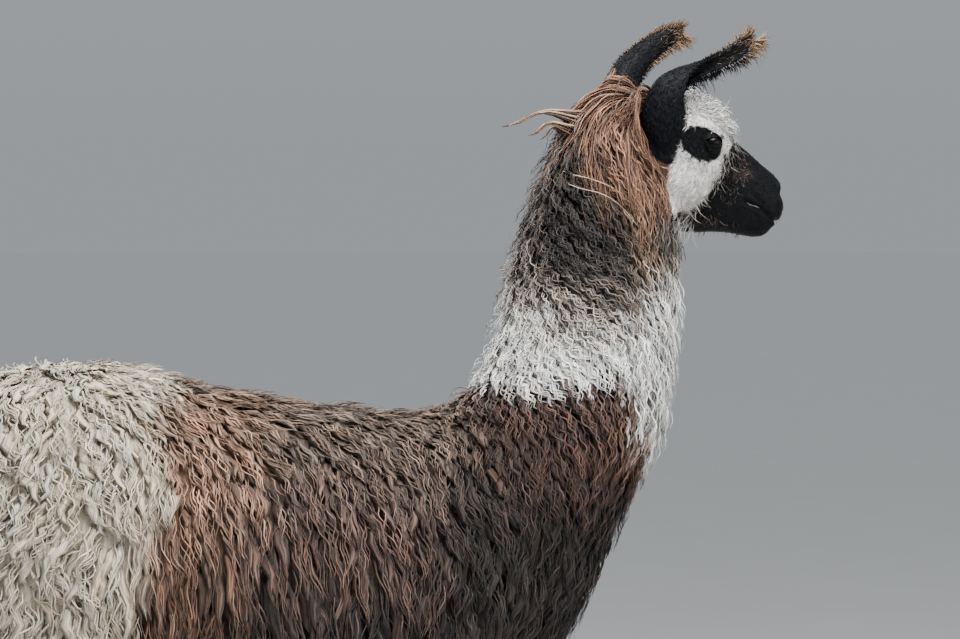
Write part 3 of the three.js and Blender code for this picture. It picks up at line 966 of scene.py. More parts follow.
class Locks:
    """Locks of the coat: their paths, the ways out of the skin along them, widths, tints and map places."""

    def __init__(self, paths, ups, widths, tints, places):
        self.paths, self.ups, self.widths, self.tints, self.places = paths, ups, widths, tints, places

    def pick(self, chosen):
        """Only some of them."""
        return Locks(*(a[chosen] for a in (self.paths, self.ups, self.widths, self.tints, self.places)))


def along(count):
    """How far along a path each of its points is."""
    return np.linspace(0, 1, count)


class Clumps:
    """The locks gathered round leaders, one to each patch of about that size."""

    def __init__(self, rng, roots, size):
        keys = np.floor((roots + rng.uniform(0, size, 3)) / size).astype(int)
        _, leaders = np.unique(keys, axis=0, return_index=True)
        tree = KDTree(len(leaders))
        for i, leader in enumerate(leaders):
            tree.insert(roots[leader], i)
        tree.balance()
        found = [tree.find(root) for root in roots]
        self.leader = leaders[[f[1] for f in found]]
        self.core = bump(np.array([f[2] for f in found]), size * 0.55)

    def shared(self, values, share):
        """Values that keep only part of their own, and take the rest from their leaders."""
        return values + (values[self.leader] - values) * share


def fleece_paths(rng, ground, roots, normals, clumps, steps, rise, stretch=1.0, lie=lie_of):
    """Paths that leave the skin and follow the lie of the coat over it, each at its own height."""
    values = area_values(roots)
    length = values[:, LENGTH] * MM * stretch * clumps.shared(rng.uniform(0.7, 1.25, len(roots)), 0.5)
    high = clumps.shared(rng.uniform(*rise, len(roots)), 0.6)
    height = values[:, DEPTH] * MM * high * mix(0.55, 1.0, clumps.core)
    swirl = mix(*SWIRL, ease(*RUMP_FROM, side_view(roots)[0]))
    stray = clumps.shared(wander(roots, 0.085, 7) * swirl + rng.normal(0, 0.18, len(roots)), 0.8)[:, None]
    point = roots.copy()
    heading = flat_on(lie(roots), normals)
    heading = unit(heading + np.cross(normals, heading) * stray)
    paths, ups = [point], [normals]
    step = (length / steps)[:, None]
    for k in range(1, steps + 1):
        _, up = ground.at(point)
        heading = unit(0.5 * heading + 0.5 * flat_on(lie(point), up) + np.cross(up, heading) * stray * 0.3)
        point = point + heading * step
        apart, up = ground.at(point)
        wanted = height * (1 - math.exp(-3.2 * k / steps))
        shift = np.clip((wanted - apart)[:, None], -0.3 * step, 1.5 * step)
        point = point + up * shift
        paths.append(point)
        ups.append(up)
    return np.stack(paths, 1), np.stack(ups, 1)


def clumped(rng, paths, clumps, pull):
    """Paths drawn towards their leaders, most at their tips."""
    share = pull * along(paths.shape[1]) ** 1.2
    strength = rng.uniform(0.55, 1.0, len(paths))[:, None, None]
    return paths + (paths[clumps.leader] - paths) * share[None, :, None] * strength


def waved(rng, paths, ups, clumps, swing, wavelength, start=0.3):
    """Paths that swing from side to side, those of a clump in step."""
    tangent = unit(np.gradient(paths, axis=1))
    side = unit(np.cross(tangent, ups))
    steps = np.linalg.norm(np.diff(paths, axis=1), axis=2)
    arc = np.concatenate([np.zeros((len(paths), 1)), np.cumsum(steps, 1)], 1)
    flow = dots(paths[:, 0], tangent[:, 1]) / wavelength
    drift = flow + wander(paths[:, 0], 0.09, 5) * 0.5 + rng.normal(0, 0.12, len(paths))
    drift = clumps.shared(drift, 0.85) + rng.normal(0, 0.05, len(paths))
    phase = 2 * np.pi * (drift[:, None] + arc / wavelength[:, None])
    grow = clumps.shared(swing, 0.7)[:, None] * ease(0, start, along(paths.shape[1]))[None, :]
    return paths + side * (grow * np.sin(phase))[..., None] + ups * (0.45 * grow * np.cos(phase))[..., None]


def tufts(rng, roots, normals, lies, lengths, heights, steps, curl=0.3):
    """Short tufts that leave the skin and bend down along the lie of the coat."""
    s = along(steps + 1)
    out = 1 - (1 - s) ** 2
    side = np.cross(normals, lies)
    bend = rng.normal(0, curl, len(roots))
    ahead = lies[:, None] * (lengths[:, None] * s)[..., None]
    up = normals[:, None] * (heights[:, None] * (out - 0.35 * s**2))[..., None]
    across = side[:, None] * (bend[:, None] * lengths[:, None] * s**2)[..., None]
    return roots[:, None] + ahead + up + across, np.repeat(normals[:, None], steps + 1, 1)


# ---- Building pieces ----

THICK = 0.2  # a lock's thickness over its width
STREAKS_ACROSS = 0.01  # the width and the length of lock that one unit of its streaks' map covers
STREAKS_ALONG = 0.05
MOST_TRIANGLES = 198000  # in one piece of the coat
SHAPE = [(0, 0.5), (0.12, 0.85), (0.32, 1.0), (0.6, 0.8), (0.82, 0.45), (1, 0.05)]  # width along a lock


def lock_verts(locks, rng):
    """Three corners round each step along a lock but the last, which is its tip."""
    count, rings = len(locks.paths), locks.paths.shape[1] - 1
    s = along(rings + 1)
    tangent = unit(np.gradient(locks.paths, axis=1))
    twist = rng.uniform(-0.4, 0.4, count)[:, None] + rng.uniform(-0.8, 0.8, count)[:, None] * s
    side = unit(np.cross(tangent, locks.ups))
    out = np.cross(side, tangent)
    cosine, sine = np.cos(twist)[..., None], np.sin(twist)[..., None]
    side, out = side * cosine + out * sine, out * cosine - side * sine
    wide = locks.widths[:, None] * np.interp(s, *zip(*SHAPE))
    half, thick = (wide / 2)[..., None], (wide * THICK)[..., None]
    left = locks.paths - side * half - out * thick * 0.3
    right = locks.paths + side * half - out * thick * 0.3
    ridge = locks.paths + out * thick * 0.7
    body = np.stack([left, right, ridge], 2)[:, :rings]
    return np.concatenate([body.reshape(count, -1, 3), locks.paths[:, -1:]], 1)


def lock_faces(count, rings):
    """The vertex at each corner of all the locks' faces, and where each face starts among them."""
    each = rings * 3 + 1
    k = np.arange(rings - 1)[:, None] * 3
    a = np.array([0, 1, 2])
    b = np.array([1, 2, 0])
    quads = np.stack([k + a, k + b, k + b + 3, k + a + 3], -1).reshape(-1, 4)
    end = (rings - 1) * 3
    tip = np.stack([end + a, end + b, np.full(3, each - 1)], -1)
    root = np.array([0, 2, 1])
    loops = np.concatenate([quads.ravel(), tip.ravel(), root])
    sizes = np.concatenate([np.full(len(quads), 4), np.full(4, 3)])
    starts = np.concatenate([[0], np.cumsum(sizes)[:-1]])
    locks = np.arange(count)[:, None]
    return (locks * each + loops).ravel(), (locks * len(loops) + starts).ravel()


def lock_maps(locks, across, length):
    """Both maps, at each vertex: the patch that is baked, and one in real size for the streaks."""
    bake = locks.places[:, None] + PATCH * np.stack([across - 0.5, length - 0.5], -1)
    apart = (np.arange(len(locks.paths)) * 7 % 97)[:, None]
    reach = np.linalg.norm(locks.paths[:, -1] - locks.paths[:, 0], axis=1)[:, None]
    u = (across[None] - 0.5) * locks.widths[:, None] / STREAKS_ACROSS + apart
    v = length[None] * reach / STREAKS_ALONG + apart * 0.37
    return {"OFBake": np.clip(bake, 0.0005, 0.9995), "lock": np.stack([u, v], -1)}


def lock_tints(locks, rings, length):
    """The tint at each vertex. A dark lock grows from painted shade at its root to lighter tips, a pale one
    hardly. Each ring's ridge is painted lighter and its two lower corners darker, as painted light and shade.
    """
    # Painted light and shade: the ridge corner of each ring lighter, the two lower corners darker.
    rim = np.append(np.tile([0.92, 0.92, 1.12], rings), 1.1)
    # Painted shade at the root of a dark lock, lighter towards its tip.
    dark = np.interp(length, [0, 0.3, 0.7, 1], [0.4, 0.82, 1.08, 1.4]) * rim
    pale = np.interp(length, [0, 0.3, 0.7, 1], [0.86, 0.97, 1.0, 1.02])
    light = paleness(locks.tints)[:, None]
    return locks.tints[:, None] * mix(dark[None], pale[None], light)[..., None]


def add_tint(mesh, tints):
    """Gives a mesh its colour at each vertex."""
    colours = np.ones((tints.size // 3, 4), np.float32)
    colours[:, :3] = tints.reshape(-1, 3)
    mesh.attributes.new("tint", "FLOAT_COLOR", "POINT").data.foreach_set("color", colours.ravel())


def piece_of_locks(name, locks, look, rng):
    """One mesh of closed, three-sided, tapering locks, with their tints and both maps."""
    count, rings = len(locks.paths), locks.paths.shape[1] - 1
    verts = lock_verts(locks, rng)
    corners, starts = lock_faces(count, rings)
    mesh = bpy.data.meshes.new(name)
    mesh.vertices.add(verts.size // 3)
    mesh.vertices.foreach_set("co", verts.astype(np.float32).ravel())
    mesh.loops.add(len(corners))
    mesh.loops.foreach_set("vertex_index", corners.astype(np.int32))
    mesh.polygons.add(len(starts))
    mesh.polygons.foreach_set("loop_start", starts.astype(np.int32))
    mesh.update(calc_edges=True)
    mesh.validate()
    mesh.polygons.foreach_set("use_smooth", np.ones(len(starts), bool))
    across = np.append(np.tile([0.0, 1.0, 0.5], rings), 0.5)
    length = np.append(np.repeat(along(rings + 1)[:rings], 3), 1.0)
    for layer, values in lock_maps(locks, across, length).items():
        uv = mesh.uv_layers.new(name=layer)
        uv.data.foreach_set("uv", values.reshape(-1, 2)[corners].astype(np.float32).ravel())
    add_tint(mesh, lock_tints(locks, rings, length))
    mesh.materials.append(look)
    return new_object(name, mesh)


def add_coat(name, locks, look, rng):
    """The locks as pieces, each a slice along the body of fewer triangles than a piece may have."""
    triangles = 6 * (locks.paths.shape[1] - 1) - 2
    order = np.argsort(locks.paths[:, 0, 1])
    count = math.ceil(len(order) / (MOST_TRIANGLES // triangles))
    for i, share in enumerate(np.array_split(order, count)):
        piece = piece_of_locks(f"{name}_{i + 1}", locks.pick(share), look, rng)
        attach(piece, "root")
    print(name, len(order), "locks", len(order) * triangles, "triangles in", count)


def varied(rng, colours, dark=0.16, warm=0.05):
    """Tints that differ a little from lock to lock."""
    light = np.exp(rng.normal(0, 1, (len(colours), 1)) * dark)
    hue = 1 + rng.normal(0, warm, (len(colours), 1)) * np.array([1.0, 0.0, -1.0])
    return np.clip(colours * light * hue, 0.001, 0.92)


# ---- The coat ----


def on_fleece(points):
    """1 where the long fleece grows: not on the face, the ears or the legs below the hem."""
    h, _, _ = to_head(points)
    near = h > -170
    _, height, _ = side_view(points)
    share = ease(HEM - 70, HEM - 10, height)
    if near.any():
        h, v, _ = to_head(points[near])
        off = np.maximum(face_share(points[near]), ear_share(points[near]))
        off = np.maximum(off, ease(-104, -92, h) * ease(0, 20, v))
        share[near] *= 1 - ease(0.2, 0.6, off)
    return share


LAYERS = [
    # name, on the neck, how often it covers the skin, width against the area's, steps, rise, how much its
    # locks are pulled into clumps, a clump's size, and how light its dark parts are
    ("fleece", 0, 1.8, 1.0, 5, (0.3, 0.75), 0.35, 0.030, 0.75),
    ("strands", 0, 0.84, 0.17, 8, (0.55, 1.15), 0.78, 0.034, 1.1),
    ("neck_fleece", 1, 1.8, 1.0, 6, (0.3, 0.8), 0.35, 0.022, 0.75),
    ("neck_strands", 1, 1.0, 0.27, 12, (0.7, 1.45), 0.8, 0.021, 1.12),
]


def on_neck(points):
    """1 on the neck and head, 0 on the rest."""
    forward, height, _ = side_view(points)
    return ease(280, 300, forward) * ease(1150, 1160, height + 0.2 * (forward - 300))


def fleece(skin, ground, look):
    """The long fleece of the trunk, neck and tail: broad flat locks, then thin strands over them."""
    rng = np.random.default_rng(11)
    values = area_values(skin.centres)
    size = values[:, LENGTH] * values[:, WIDTH] * 0.6 * MM**2
    below = ease(-0.4, -0.9, skin.normals[skin.tris[:, 0]][:, 2])
    where = on_fleece(skin.centres) * mix(1.0, 0.5, below) / size
    neck = on_neck(skin.centres)
    for name, upper, covers, wide, steps, rise, pull, patch, lighter in LAYERS:
        part = neck if upper else 1 - neck
        roots, normals, places = skin.scatter(rng, where * part * covers / wide)
        clumps = Clumps(rng, roots, patch)
        paths, ups = fleece_paths(rng, ground, roots, normals, clumps, steps, rise)
        paths = clumped(rng, paths, clumps, pull)
        found = area_values(roots)
        swing = found[:, WAVE] * MM * rng.uniform(0.5, 1.3, len(paths))
        paths = waved(rng, paths, ups, clumps, swing, found[:, WAVELENGTH] * MM)
        widths = found[:, WIDTH] * MM * wide * rng.uniform(0.65, 1.25, len(paths))
        reached = clumps.shared(rng.uniform(0.15, 0.95, len(paths)), 0.5)
        seen = paths[np.arange(len(paths)), (reached * steps).round().astype(int)]
        # How low each lock lies, for painted shade: a lock that lies low over the skin is darkened, a dark
        # one down to half, a pale one hardly.
        apart, _ = ground.at(paths[:, int(steps * 0.7)])
        deep = ease(0.2, 0.95, apart / (found[:, DEPTH] * MM))
        near_face = ease(-150, -120, to_head(roots)[0])[:, None]
        tints = mix(markings(seen), markings(roots), near_face)
        floor = mix(0.5, 0.92, paleness(tints))
        tints = tints * (floor + (1.04 - floor) * deep)[:, None]
        pale = paleness(tints)[:, None]
        tints = varied(rng, tints * mix(lighter, 1.0, pale), 0.3 * (1 - 0.7 * pale))
        # Painted shade and light: locks at the edge of a clump are darker, those at its core lighter, the
        # dark ones most.
        core = clumps.core[:, None]
        shade = mix(mix(0.66, 1.18, core), mix(0.92, 1.1, core), pale)
        tints = clumps.shared(tints, 0.6) * shade
        clear = face_share(paths[:, -1]) < 0.5
        add_coat(name, Locks(paths, ups, widths, tints, places).pick(clear), look, rng)


def head_lie(points):
    """The way that the hair of the face lies."""
    h, v, w = to_head(points)
    brow = ease(20, 45, v) * ease(60, 30, h)
    cheek = ease(40, 0, v) * ease(70, 30, h)
    ahead = mix(-0.8, 0.75, brow)
    ahead = mix(ahead, -0.45, cheek * (1 - brow))
    up = mix(-0.2, 0.45, brow)
    up = mix(up, -1.0, cheek * (1 - brow))
    local = np.stack([np.sign(w) * 0.15, -ahead, up], -1)
    return local @ HEAD_TURNED.T


def brow_and_muzzle(h, v):
    """The shares of both at places of the head."""
    return ease(24, 50, v) * ease(75, 40, h), ease(50, 110, h)


def face_fur(skin, look):
    """Short hair of the face: longest on the brow and cheeks, shortest on the muzzle."""
    rng = np.random.default_rng(23)
    h, v, w = to_head(skin.centres)
    near = (h > -120) & (face_share(skin.centres) > 0.12) & (ear_share(skin.centres) < 0.6)
    clear = np.sqrt((h - EYE_AT[0]) ** 2 + (v - EYE_AT[1]) ** 2 + (np.abs(w) - EYE_AT[2]) ** 2)
    brow, muzzle = brow_and_muzzle(h, v)
    density = near * ease(19, 22, clear) * mix(*FACE_HAIRS, brow) * mix(1.0, 0.8, muzzle)
    roots, normals, places = skin.scatter(rng, density)
    brow, muzzle = brow_and_muzzle(*to_head(roots)[:2])
    lengths = mix(mix(11.0, 9.0, muzzle), 24.0, brow) * MM * rng.uniform(0.6, 1.3, len(roots))
    heights = lengths * mix(mix(0.28, 0.08, muzzle), 0.62, brow) * rng.uniform(0.3, 1.4, len(roots))
    stray = wander(roots, 0.016, 9)[:, None] * 0.9 * brow[:, None] * np.cross(normals, head_lie(roots))
    stray = stray + rng.normal(0, 0.3, (len(roots), 3))
    lies = flat_on(head_lie(roots) + stray, normals)
    paths, ups = tufts(rng, roots, normals, lies, lengths, heights, 3, mix(0.3, 0.7, brow))
    widths = mix(mix(1.6, 0.8, muzzle), 1.5, brow) * MM * rng.uniform(0.6, 1.3, len(roots))
    tints = markings(roots)
    dark = mix(mix(0.4, 0.1, ease(0.02, 0.3, tints.mean(1))), 0.26, brow)
    tints = varied(rng, tints, dark[:, None], 0.02)
    add_coat("face_fur", Locks(paths, ups, widths, tints, places), look, rng)


def ear_fur(skin, look):
    """Short hair over the ears, that lies up them."""
    rng = np.random.default_rng(29)
    share = ear_share(skin.centres)
    roots, normals, places = skin.scatter(rng, EAR_HAIRS * ease(0.05, 0.35, share))
    h, v, w = to_head(roots)
    local = np.stack([w, -h, v], -1)
    lies = np.zeros_like(roots)
    at = np.zeros(len(roots))
    for side, there in (("right", w < 0), ("left", w >= 0)):
        _, middle, up, _, _ = ear_frame(side)
        nearest = np.linalg.norm(local[there][:, None] - middle[None], axis=2).argmin(1)
        lies[there] = up[nearest] @ HEAD_TURNED.T
        at[there] = nearest / len(middle)
    lies = flat_on(lies + rng.normal(0, 0.22, lies.shape), normals)
    tip = ease(0.72, 0.95, at)
    lengths = rng.uniform(7, 13, len(roots)) * MM * mix(1.0, 1.9, tip)
    paths, ups = tufts(rng, roots, normals, lies, lengths, lengths * mix(0.14, 0.4, tip), 3)
    brown = 0.55 * ease(0.75, 0.95, at + rng.normal(0, 0.1, len(at)))
    tints = blend(np.tile(EAR_BLACK, (len(roots), 1)), EAR_TAN, brown)
    widths = 1.5 * MM * rng.uniform(0.7, 1.2, len(roots))
    add_coat("ear_fur", Locks(paths, ups, widths, varied(rng, tints, 0.25), places), look, rng)


FRINGE = [
    # ear, which edge of it or 0 for its back, where up it the hair begins, ends and turns tan, its length
    # low down and at the tip, and how many
    ("right", -1, 0.45, 1.08, 0.70, 8, 24, 470),
    ("right", 1, 0.35, 1.08, 0.86, 14, 40, 600),
    ("right", 0, 0.90, 1.05, 0.84, 20, 28, 340),
    ("right", 1, 0.34, 0.60, 9.00, 40, 30, 26),
    ("left", -1, 0.30, 1.08, 0.50, 8, 27, 560),
    ("left", 1, 0.35, 1.08, 0.62, 9, 30, 500),
    ("left", 0, 0.90, 1.05, 0.70, 20, 27, 340),
]


def ear_fringe(skin, look):
    """Hair along the edges of the ears: tan at the tip, black below it, and longer round the tip itself."""
    rng = np.random.default_rng(37)
    for k, (side, edge, begins, ends, tan, low, longest, count) in enumerate(FRINGE):
        stations, middle, up, front, sideways = ear_frame(side)
        t = np.minimum(rng.uniform(begins, ends, count), 0.995)
        at = (t * len(middle)).astype(int)
        share = edge * rng.uniform(0.72, 1.0, count) if edge else rng.uniform(-1, 1, count)
        angle = np.radians(stations[at, WRAP]) * share
        sine, cosine = np.sin(angle), np.cos(angle)
        out = sideways[at] * sine[:, None] - front[at] * cosine[:, None]
        root = (
            middle[at]
            + sideways[at] * (stations[at, WIDE] * sine)[:, None]
            - front[at] * (stations[at, CUP] * cosine)[:, None]
        )
        tip = ease(0.7, 1.0, t)
        lie = unit(out + up[at] * mix(0.6, 1.5, tip)[:, None] + rng.normal(0, 0.25, (count, 3)))
        sparse = count < SPARSE
        begun = 1.0 if sparse else ease(begins - 0.02, begins + 0.2, t)
        length = mix(low, longest, tip) * rng.uniform(0.5, 1.25, count) * begun
        roots, lies = local_to_row(root), lie @ HEAD_TURNED.T
        ups = unit(np.cross(lies, up[at] @ HEAD_TURNED.T))
        paths, ups = tufts(rng, roots, ups, lies, length * MM, length * MM * 0.1, 4, 0.25)
        paths[..., 2] -= 0.35 * length[:, None] * MM * along(5) ** 2 * mix(1.0, 0.3, tip)[:, None]
        brown = 0.95 * ease(tan - 0.1, tan + 0.08, t + rng.normal(0, 0.06, count))
        colours = varied(rng, blend(np.tile(EAR_BLACK, (count, 1)), EAR_TAN, brown), 0.3)
        widths = (1.0 if sparse else 1.5) * MM * rng.uniform(0.7, 1.3, count)
        locks = Locks(paths, ups, widths, colours, skin.nearest_places(roots))
        add_coat(f"ear_fringe_{side}_{k + 1}", locks, look, rng)


STRANDS = [
    # name, how many on each side, h from and to, v from and to, length, lie by h, v and out, curl, colour
    ("muzzle_curls", 110, 34, 56, -70, 16, 16, (-0.1, -0.7, 0.4), 0.9, "8e8983"),
    ("brow_hair", 120, -10, 44, 34, 62, 20, (0.8, 0.1, 0.4), 1.0, "dcdad6"),
    ("jaw_curls", 80, 14, 44, -134, -80, 17, (0.1, -0.9, 0.4), 0.9, "a09a94"),
    ("patch_curls", 60, -44, 12, -44, -32, 12, (-0.2, -1.0, 0.2), 0.6, "c9c6c2"),
    ("bridge_hair", 22, 44, 60, 16, 44, 26, (0.8, -0.6, 0.15), 0.5, "a8a39d"),
    # Pale hairs along the mouth line, partly a painted highlight on the lip.
    ("lip_hair_and_highlight", 5, 128, 140, -57, -54, 13, (0.95, 0.1, 0.15), 0.1, "7c8186"),
    ("chin_hair", 90, 60, 170, -132, -90, 10, (0.3, -1.0, 0.2), 0.4, "262422"),
    ("throat_hair", 90, 4, 56, -150, -128, 36, (-0.15, -1.0, 0.2), 0.35, "a5a3a1"),
    ("lashes", 40, -16, 20, 14, 17, 9, (0.2, 0.2, 1.0), 0.3, "0a0a0a"),
    ("nose_curls", 150, 54, 112, -30, 14, 11, (-0.2, -0.8, 0.3), 0.9, "4f4543"),
    ("cheek_curls", 60, 60, 104, -72, -34, 10, (-0.2, -0.9, 0.3), 0.9, "3c3837"),
    ("chin_curls", 36, 62, 96, -122, -104, 10, (0.1, -0.9, 0.3), 0.9, "4d423d"),
]


def face_strands(skin, look):
    """Long thin hairs of the face: curls at the edges of the white, whiskers and lashes."""
    rng = np.random.default_rng(43)
    for name, count, h0, h1, v0, v1, length, lie, curl, colour in STRANDS:
        h, v = rng.uniform(h0, h1, count * 2), rng.uniform(v0, v1, count * 2)
        sign = np.repeat([-1, 1], count)
        outside, middle = from_head(h, v, sign * HEAD_OUTSIDE), from_head(h, v, sign * 0.0)
        met, roots, normals, places = skin.from_side(outside, middle, HEAD_OUTSIDE * MM)
        sign = sign[met]
        local = np.stack([lie[2] * sign, np.full(len(sign), -lie[0]), np.full(len(sign), lie[1])], -1)
        lies = unit(local @ HEAD_TURNED.T + rng.normal(0, 0.3, local.shape))
        lengths = length * MM * rng.uniform(0.5, 1.3, len(roots))
        paths, ups = tufts(rng, roots, normals, lies, lengths, lengths * 0.25, 5, curl)
        widths = 0.9 * MM * rng.uniform(0.7, 1.3, len(roots))
        tints = varied(rng, np.tile(srgb(colour), (len(roots), 1)), 0.3)
        add_coat(name, Locks(paths, ups, widths, tints, places), look, rng)


def leg_fur(skin, look):
    """Short hair of the legs, lying downwards."""
    rng = np.random.default_rng(31)
    _, height, _ = side_view(skin.centres)
    on_leg = ease(HEM + 20, HEM - 40, height) * ease(1, 8, height)
    roots, normals, places = skin.scatter(rng, on_leg * mix(*LEG_HAIRS, ease(120, 300, height)))
    values = area_values(roots)
    lengths = values[:, LENGTH] * MM * rng.uniform(0.6, 1.1, len(roots))
    heights = values[:, DEPTH] * MM * rng.uniform(0.4, 0.9, len(roots)) * 0.8
    lies = flat_on(np.array([0, 0, -1.0]) + rng.normal(0, 0.16, (len(roots), 3)), normals)
    paths, ups = tufts(rng, roots, normals, lies, lengths, heights, 3, 0.15)
    paths[..., 2] = np.maximum(paths[..., 2], 0.001)
    widths = values[:, WIDTH] * MM * rng.uniform(0.7, 1.2, len(roots))
    tints = varied(rng, markings(roots), 0.14, 0.03)
    add_coat("leg_fur", Locks(paths, ups, widths, tints, places), look, rng)


def topknot_lie(points):
    """Back between the ears, then outwards to the side and down. The parting wavers about the middle."""
    h, v, w = to_head(points)
    side = np.sign(w + 8 * np.sin(h * 0.2))
    back, out = HEAD_TURNED @ np.array([0, 1.0, 0]), HEAD_TURNED @ np.array([1.0, 0, 0])
    swept = back * 0.9 + out * (side * 0.7)[:, None]
    ahead = -0.15 + 0.45 * ease(-20, -80, v) + 0.3 * ease(-150, -190, h)
    fallen = np.stack([side * 0.3, -ahead, np.full(len(points), -1.0)], -1)
    fallen = np.where(side[:, None] > 0, fallen @ turn_matrix("z", HEAD_TURN).T, fallen)
    turned = np.maximum(ease(18, 50, np.abs(w)) * ease(-100, -130, h), ease(-150, -190, h))
    return mix(swept, fallen, np.maximum(turned, ease(40, 10, v))[:, None])


def topknot(skin, ground, look):
    """Long smooth locks that sweep back between the ears, then fall down both sides of the neck."""
    rng = np.random.default_rng(41)
    h, v, _ = to_head(skin.centres)
    crown = ease(-84, -94, h) * ease(-215, -185, h) * ease(-20, 30, v)
    free = 1 - ease(0.02, 0.25, ear_share(skin.centres))
    roots, normals, places = skin.scatter(rng, TOPKNOT_LOCKS * crown * free)
    clumps = Clumps(rng, roots, 0.02)
    paths, ups = fleece_paths(rng, ground, roots, normals, clumps, 14, (0.9, 1.7), 3.6, topknot_lie)
    paths = clumped(rng, paths, clumps, 0.85)
    swing = 3.0 * MM * rng.uniform(0.3, 1.4, len(paths))
    paths = waved(rng, paths, ups, clumps, swing, rng.uniform(0.05, 0.09, len(paths)))
    widths = 3.0 * MM * rng.uniform(0.4, 1.4, len(paths))
    beneath = markings(paths[:, 9])  # two thirds of the way along each
    tints = varied(rng, mix(np.tile(TOPKNOT, (len(paths), 1)), beneath, 0.3), 0.35, 0.05)
    # Painted shade and light: darker at the edge of each clump, lighter at its core.
    tints = clumps.shared(tints, 0.5) * mix(0.55, 1.15, clumps.core[:, None])
    past_root = paths[:, 3:]
    over_ear = ear_share(past_root.reshape(-1, 3)).reshape(len(paths), -1).max(1)
    locks = Locks(paths, ups, widths, tints, places).pick(over_ear < 0.9)
    add_coat("topknot", locks, look, rng)


TUFTS = [
    # root by forward, height and left, tip by forward and height, how many locks, how widely they are rooted
    ((516, 1672, -20), (383, 1634), 52, 13),
    ((494, 1648, -34), (430, 1619), 22, 8),
    ((486, 1640, -20), (452, 1612), 16, 8),
]


def swept_tufts(skin, look):
    """Tufts at the poll that stick out backwards, each gathered to a point."""
    rng = np.random.default_rng(47)
    steps = 9
    s = along(steps + 1)
    for k, (at, (forward, height), count, spread) in enumerate(TUFTS):
        root, tip = place(*at), place(forward, height, at[2])
        near = root + rng.normal(0, spread * MM, (count, 3))
        found = [skin.tree.find_nearest(Vector(p)) for p in near]
        roots = np.array([f[0] for f in found])
        ends = tip + (root - tip) * rng.uniform(0, 0.35, (count, 1)) + rng.normal(0, 1.0 * MM, (count, 3))
        paths = roots[:, None] + (ends - roots)[:, None] * s[None, :, None]
        gather = (0.9 * np.sin(np.pi * np.minimum(s * 0.9, 1)))[None, :, None]
        spine = root + (tip - root) * s[:, None]
        paths = paths + (spine[None] - paths) * gather * 0.72
        paths[..., 2] += 9 * MM * np.sin(np.pi * s) - 3 * MM * np.sin(3 * np.pi * s)
        ups = np.tile(unit(np.array([-0.5, 0, 1.0])), (count, steps + 1, 1))
        widths = 5.2 * MM * rng.uniform(0.5, 1.2, count)
        tints = varied(rng, np.tile(mix(TOPKNOT, CREAM, 0.2), (count, 1)), 0.3)
        places = skin.nearest_places(roots)
        add_coat(f"poll_tuft_{k + 1}", Locks(paths, ups, widths, tints, places), look, rng)


STRAY_OUTSIDE = 400  # right of the middle, clear of the neck
STRAY_RISE = 30  # how far they stand over the skin
STRAYS = [
    # single long hairs on the right of the neck, by forward and height
    [(464, 1570), (486, 1546), (520, 1530), (560, 1520), (592, 1500), (620, 1468), (645, 1442)],
    [(470, 1575), (500, 1556), (540, 1546), (580, 1530), (604, 1508)],
]


def stray_hairs(skin, look):
    """Single long pale hairs that lie over the fleece of the neck."""
    rng = np.random.default_rng(53)
    tint = mix(CREAM, TOPKNOT, 0.45)[None]
    for k, knots in enumerate(STRAYS):
        line = smooth_run(np.array(knots, float), 16)
        outside = np.array([place(f, h, -STRAY_OUTSIDE) for f, h in line])
        beyond = np.array([place(f, h, 40) for f, h in line])
        _, points, _, places = skin.from_side(outside, beyond, STRAY_OUTSIDE * 1.25 * MM)
        out = np.array([-STRAY_RISE * MM, 0, 0])
        paths = points[None] + out * np.sin(np.pi * along(len(points)))[None, :, None] ** 0.5
        ups = np.tile(np.array([-1.0, 0, 0]), (1, len(points), 1))
        locks = Locks(paths, ups, np.full(1, 1.5 * MM), tint, places[:1])
        add_coat(f"stray_hair_{k + 1}", locks, look, rng)


# ---- Looks ----


class Look:
    """A material in the making."""

    def __init__(self, name):
        self.material = bpy.data.materials.new(name)
        self.material.use_nodes = True
        self.tree = self.material.node_tree

    def fill(self, node, sockets):
        """Gives each socket its value, or the output that it is linked to."""
        for key, value in sockets.items():
            if isinstance(value, bpy.types.NodeSocket):
                self.tree.links.new(value, node.inputs[key])
            else:
                node.inputs[key].default_value = value

    def node(self, kind, sockets, **settings):
        node = self.tree.nodes.new("ShaderNode" + kind)
        for key, value in settings.items():
            setattr(node, key, value)
        self.fill(node, sockets)
        return node

    def surface(self, sockets):
        """The material, with its surface's sockets filled."""
        self.fill(self.tree.nodes["Principled BSDF"], sockets)
        return self.material

    def tint(self):
        return self.node("Attribute", {}, attribute_name="tint").outputs["Color"]

    def place(self):
        return self.node("TexCoord", {}).outputs["Object"]

    def stretched(self, where, scale):
        return self.node("Mapping", {"Vector": where, "Scale": scale}).outputs["Vector"]

    def noise(self, where, sockets, **settings):
        return self.node("TexNoise", {"Vector": where, **sockets}, **settings).outputs["Fac"]

    def ranged(self, value, low, high, start=0.3, end=0.7):
        """low to high, as the value goes from start to end."""
        sockets = {"Value": value, "From Min": start, "From Max": end, "To Min": low, "To Max": high}
        return self.node("MapRange", sockets).outputs["Result"]

    def ramp(self, value, dark, light):
        node = self.node("ValToRGB", {"Fac": value})
        for element, colour in zip(node.color_ramp.elements, (dark, light)):
            element.color = (*colour, 1)
        return node.outputs["Color"]

    def multiplied(self, colour, factor):
        """The colour times a grey factor."""
        sockets = {"Factor": 1.0, 6: colour, 7: factor}
        return self.node("Mix", sockets, data_type="RGBA", blend_type="MULTIPLY").outputs[2]

    def raised(self, height, strength, distance):
        sockets = {"Height": height, "Strength": strength, "Distance": distance}
        return self.node("Bump", sockets).outputs["Normal"]


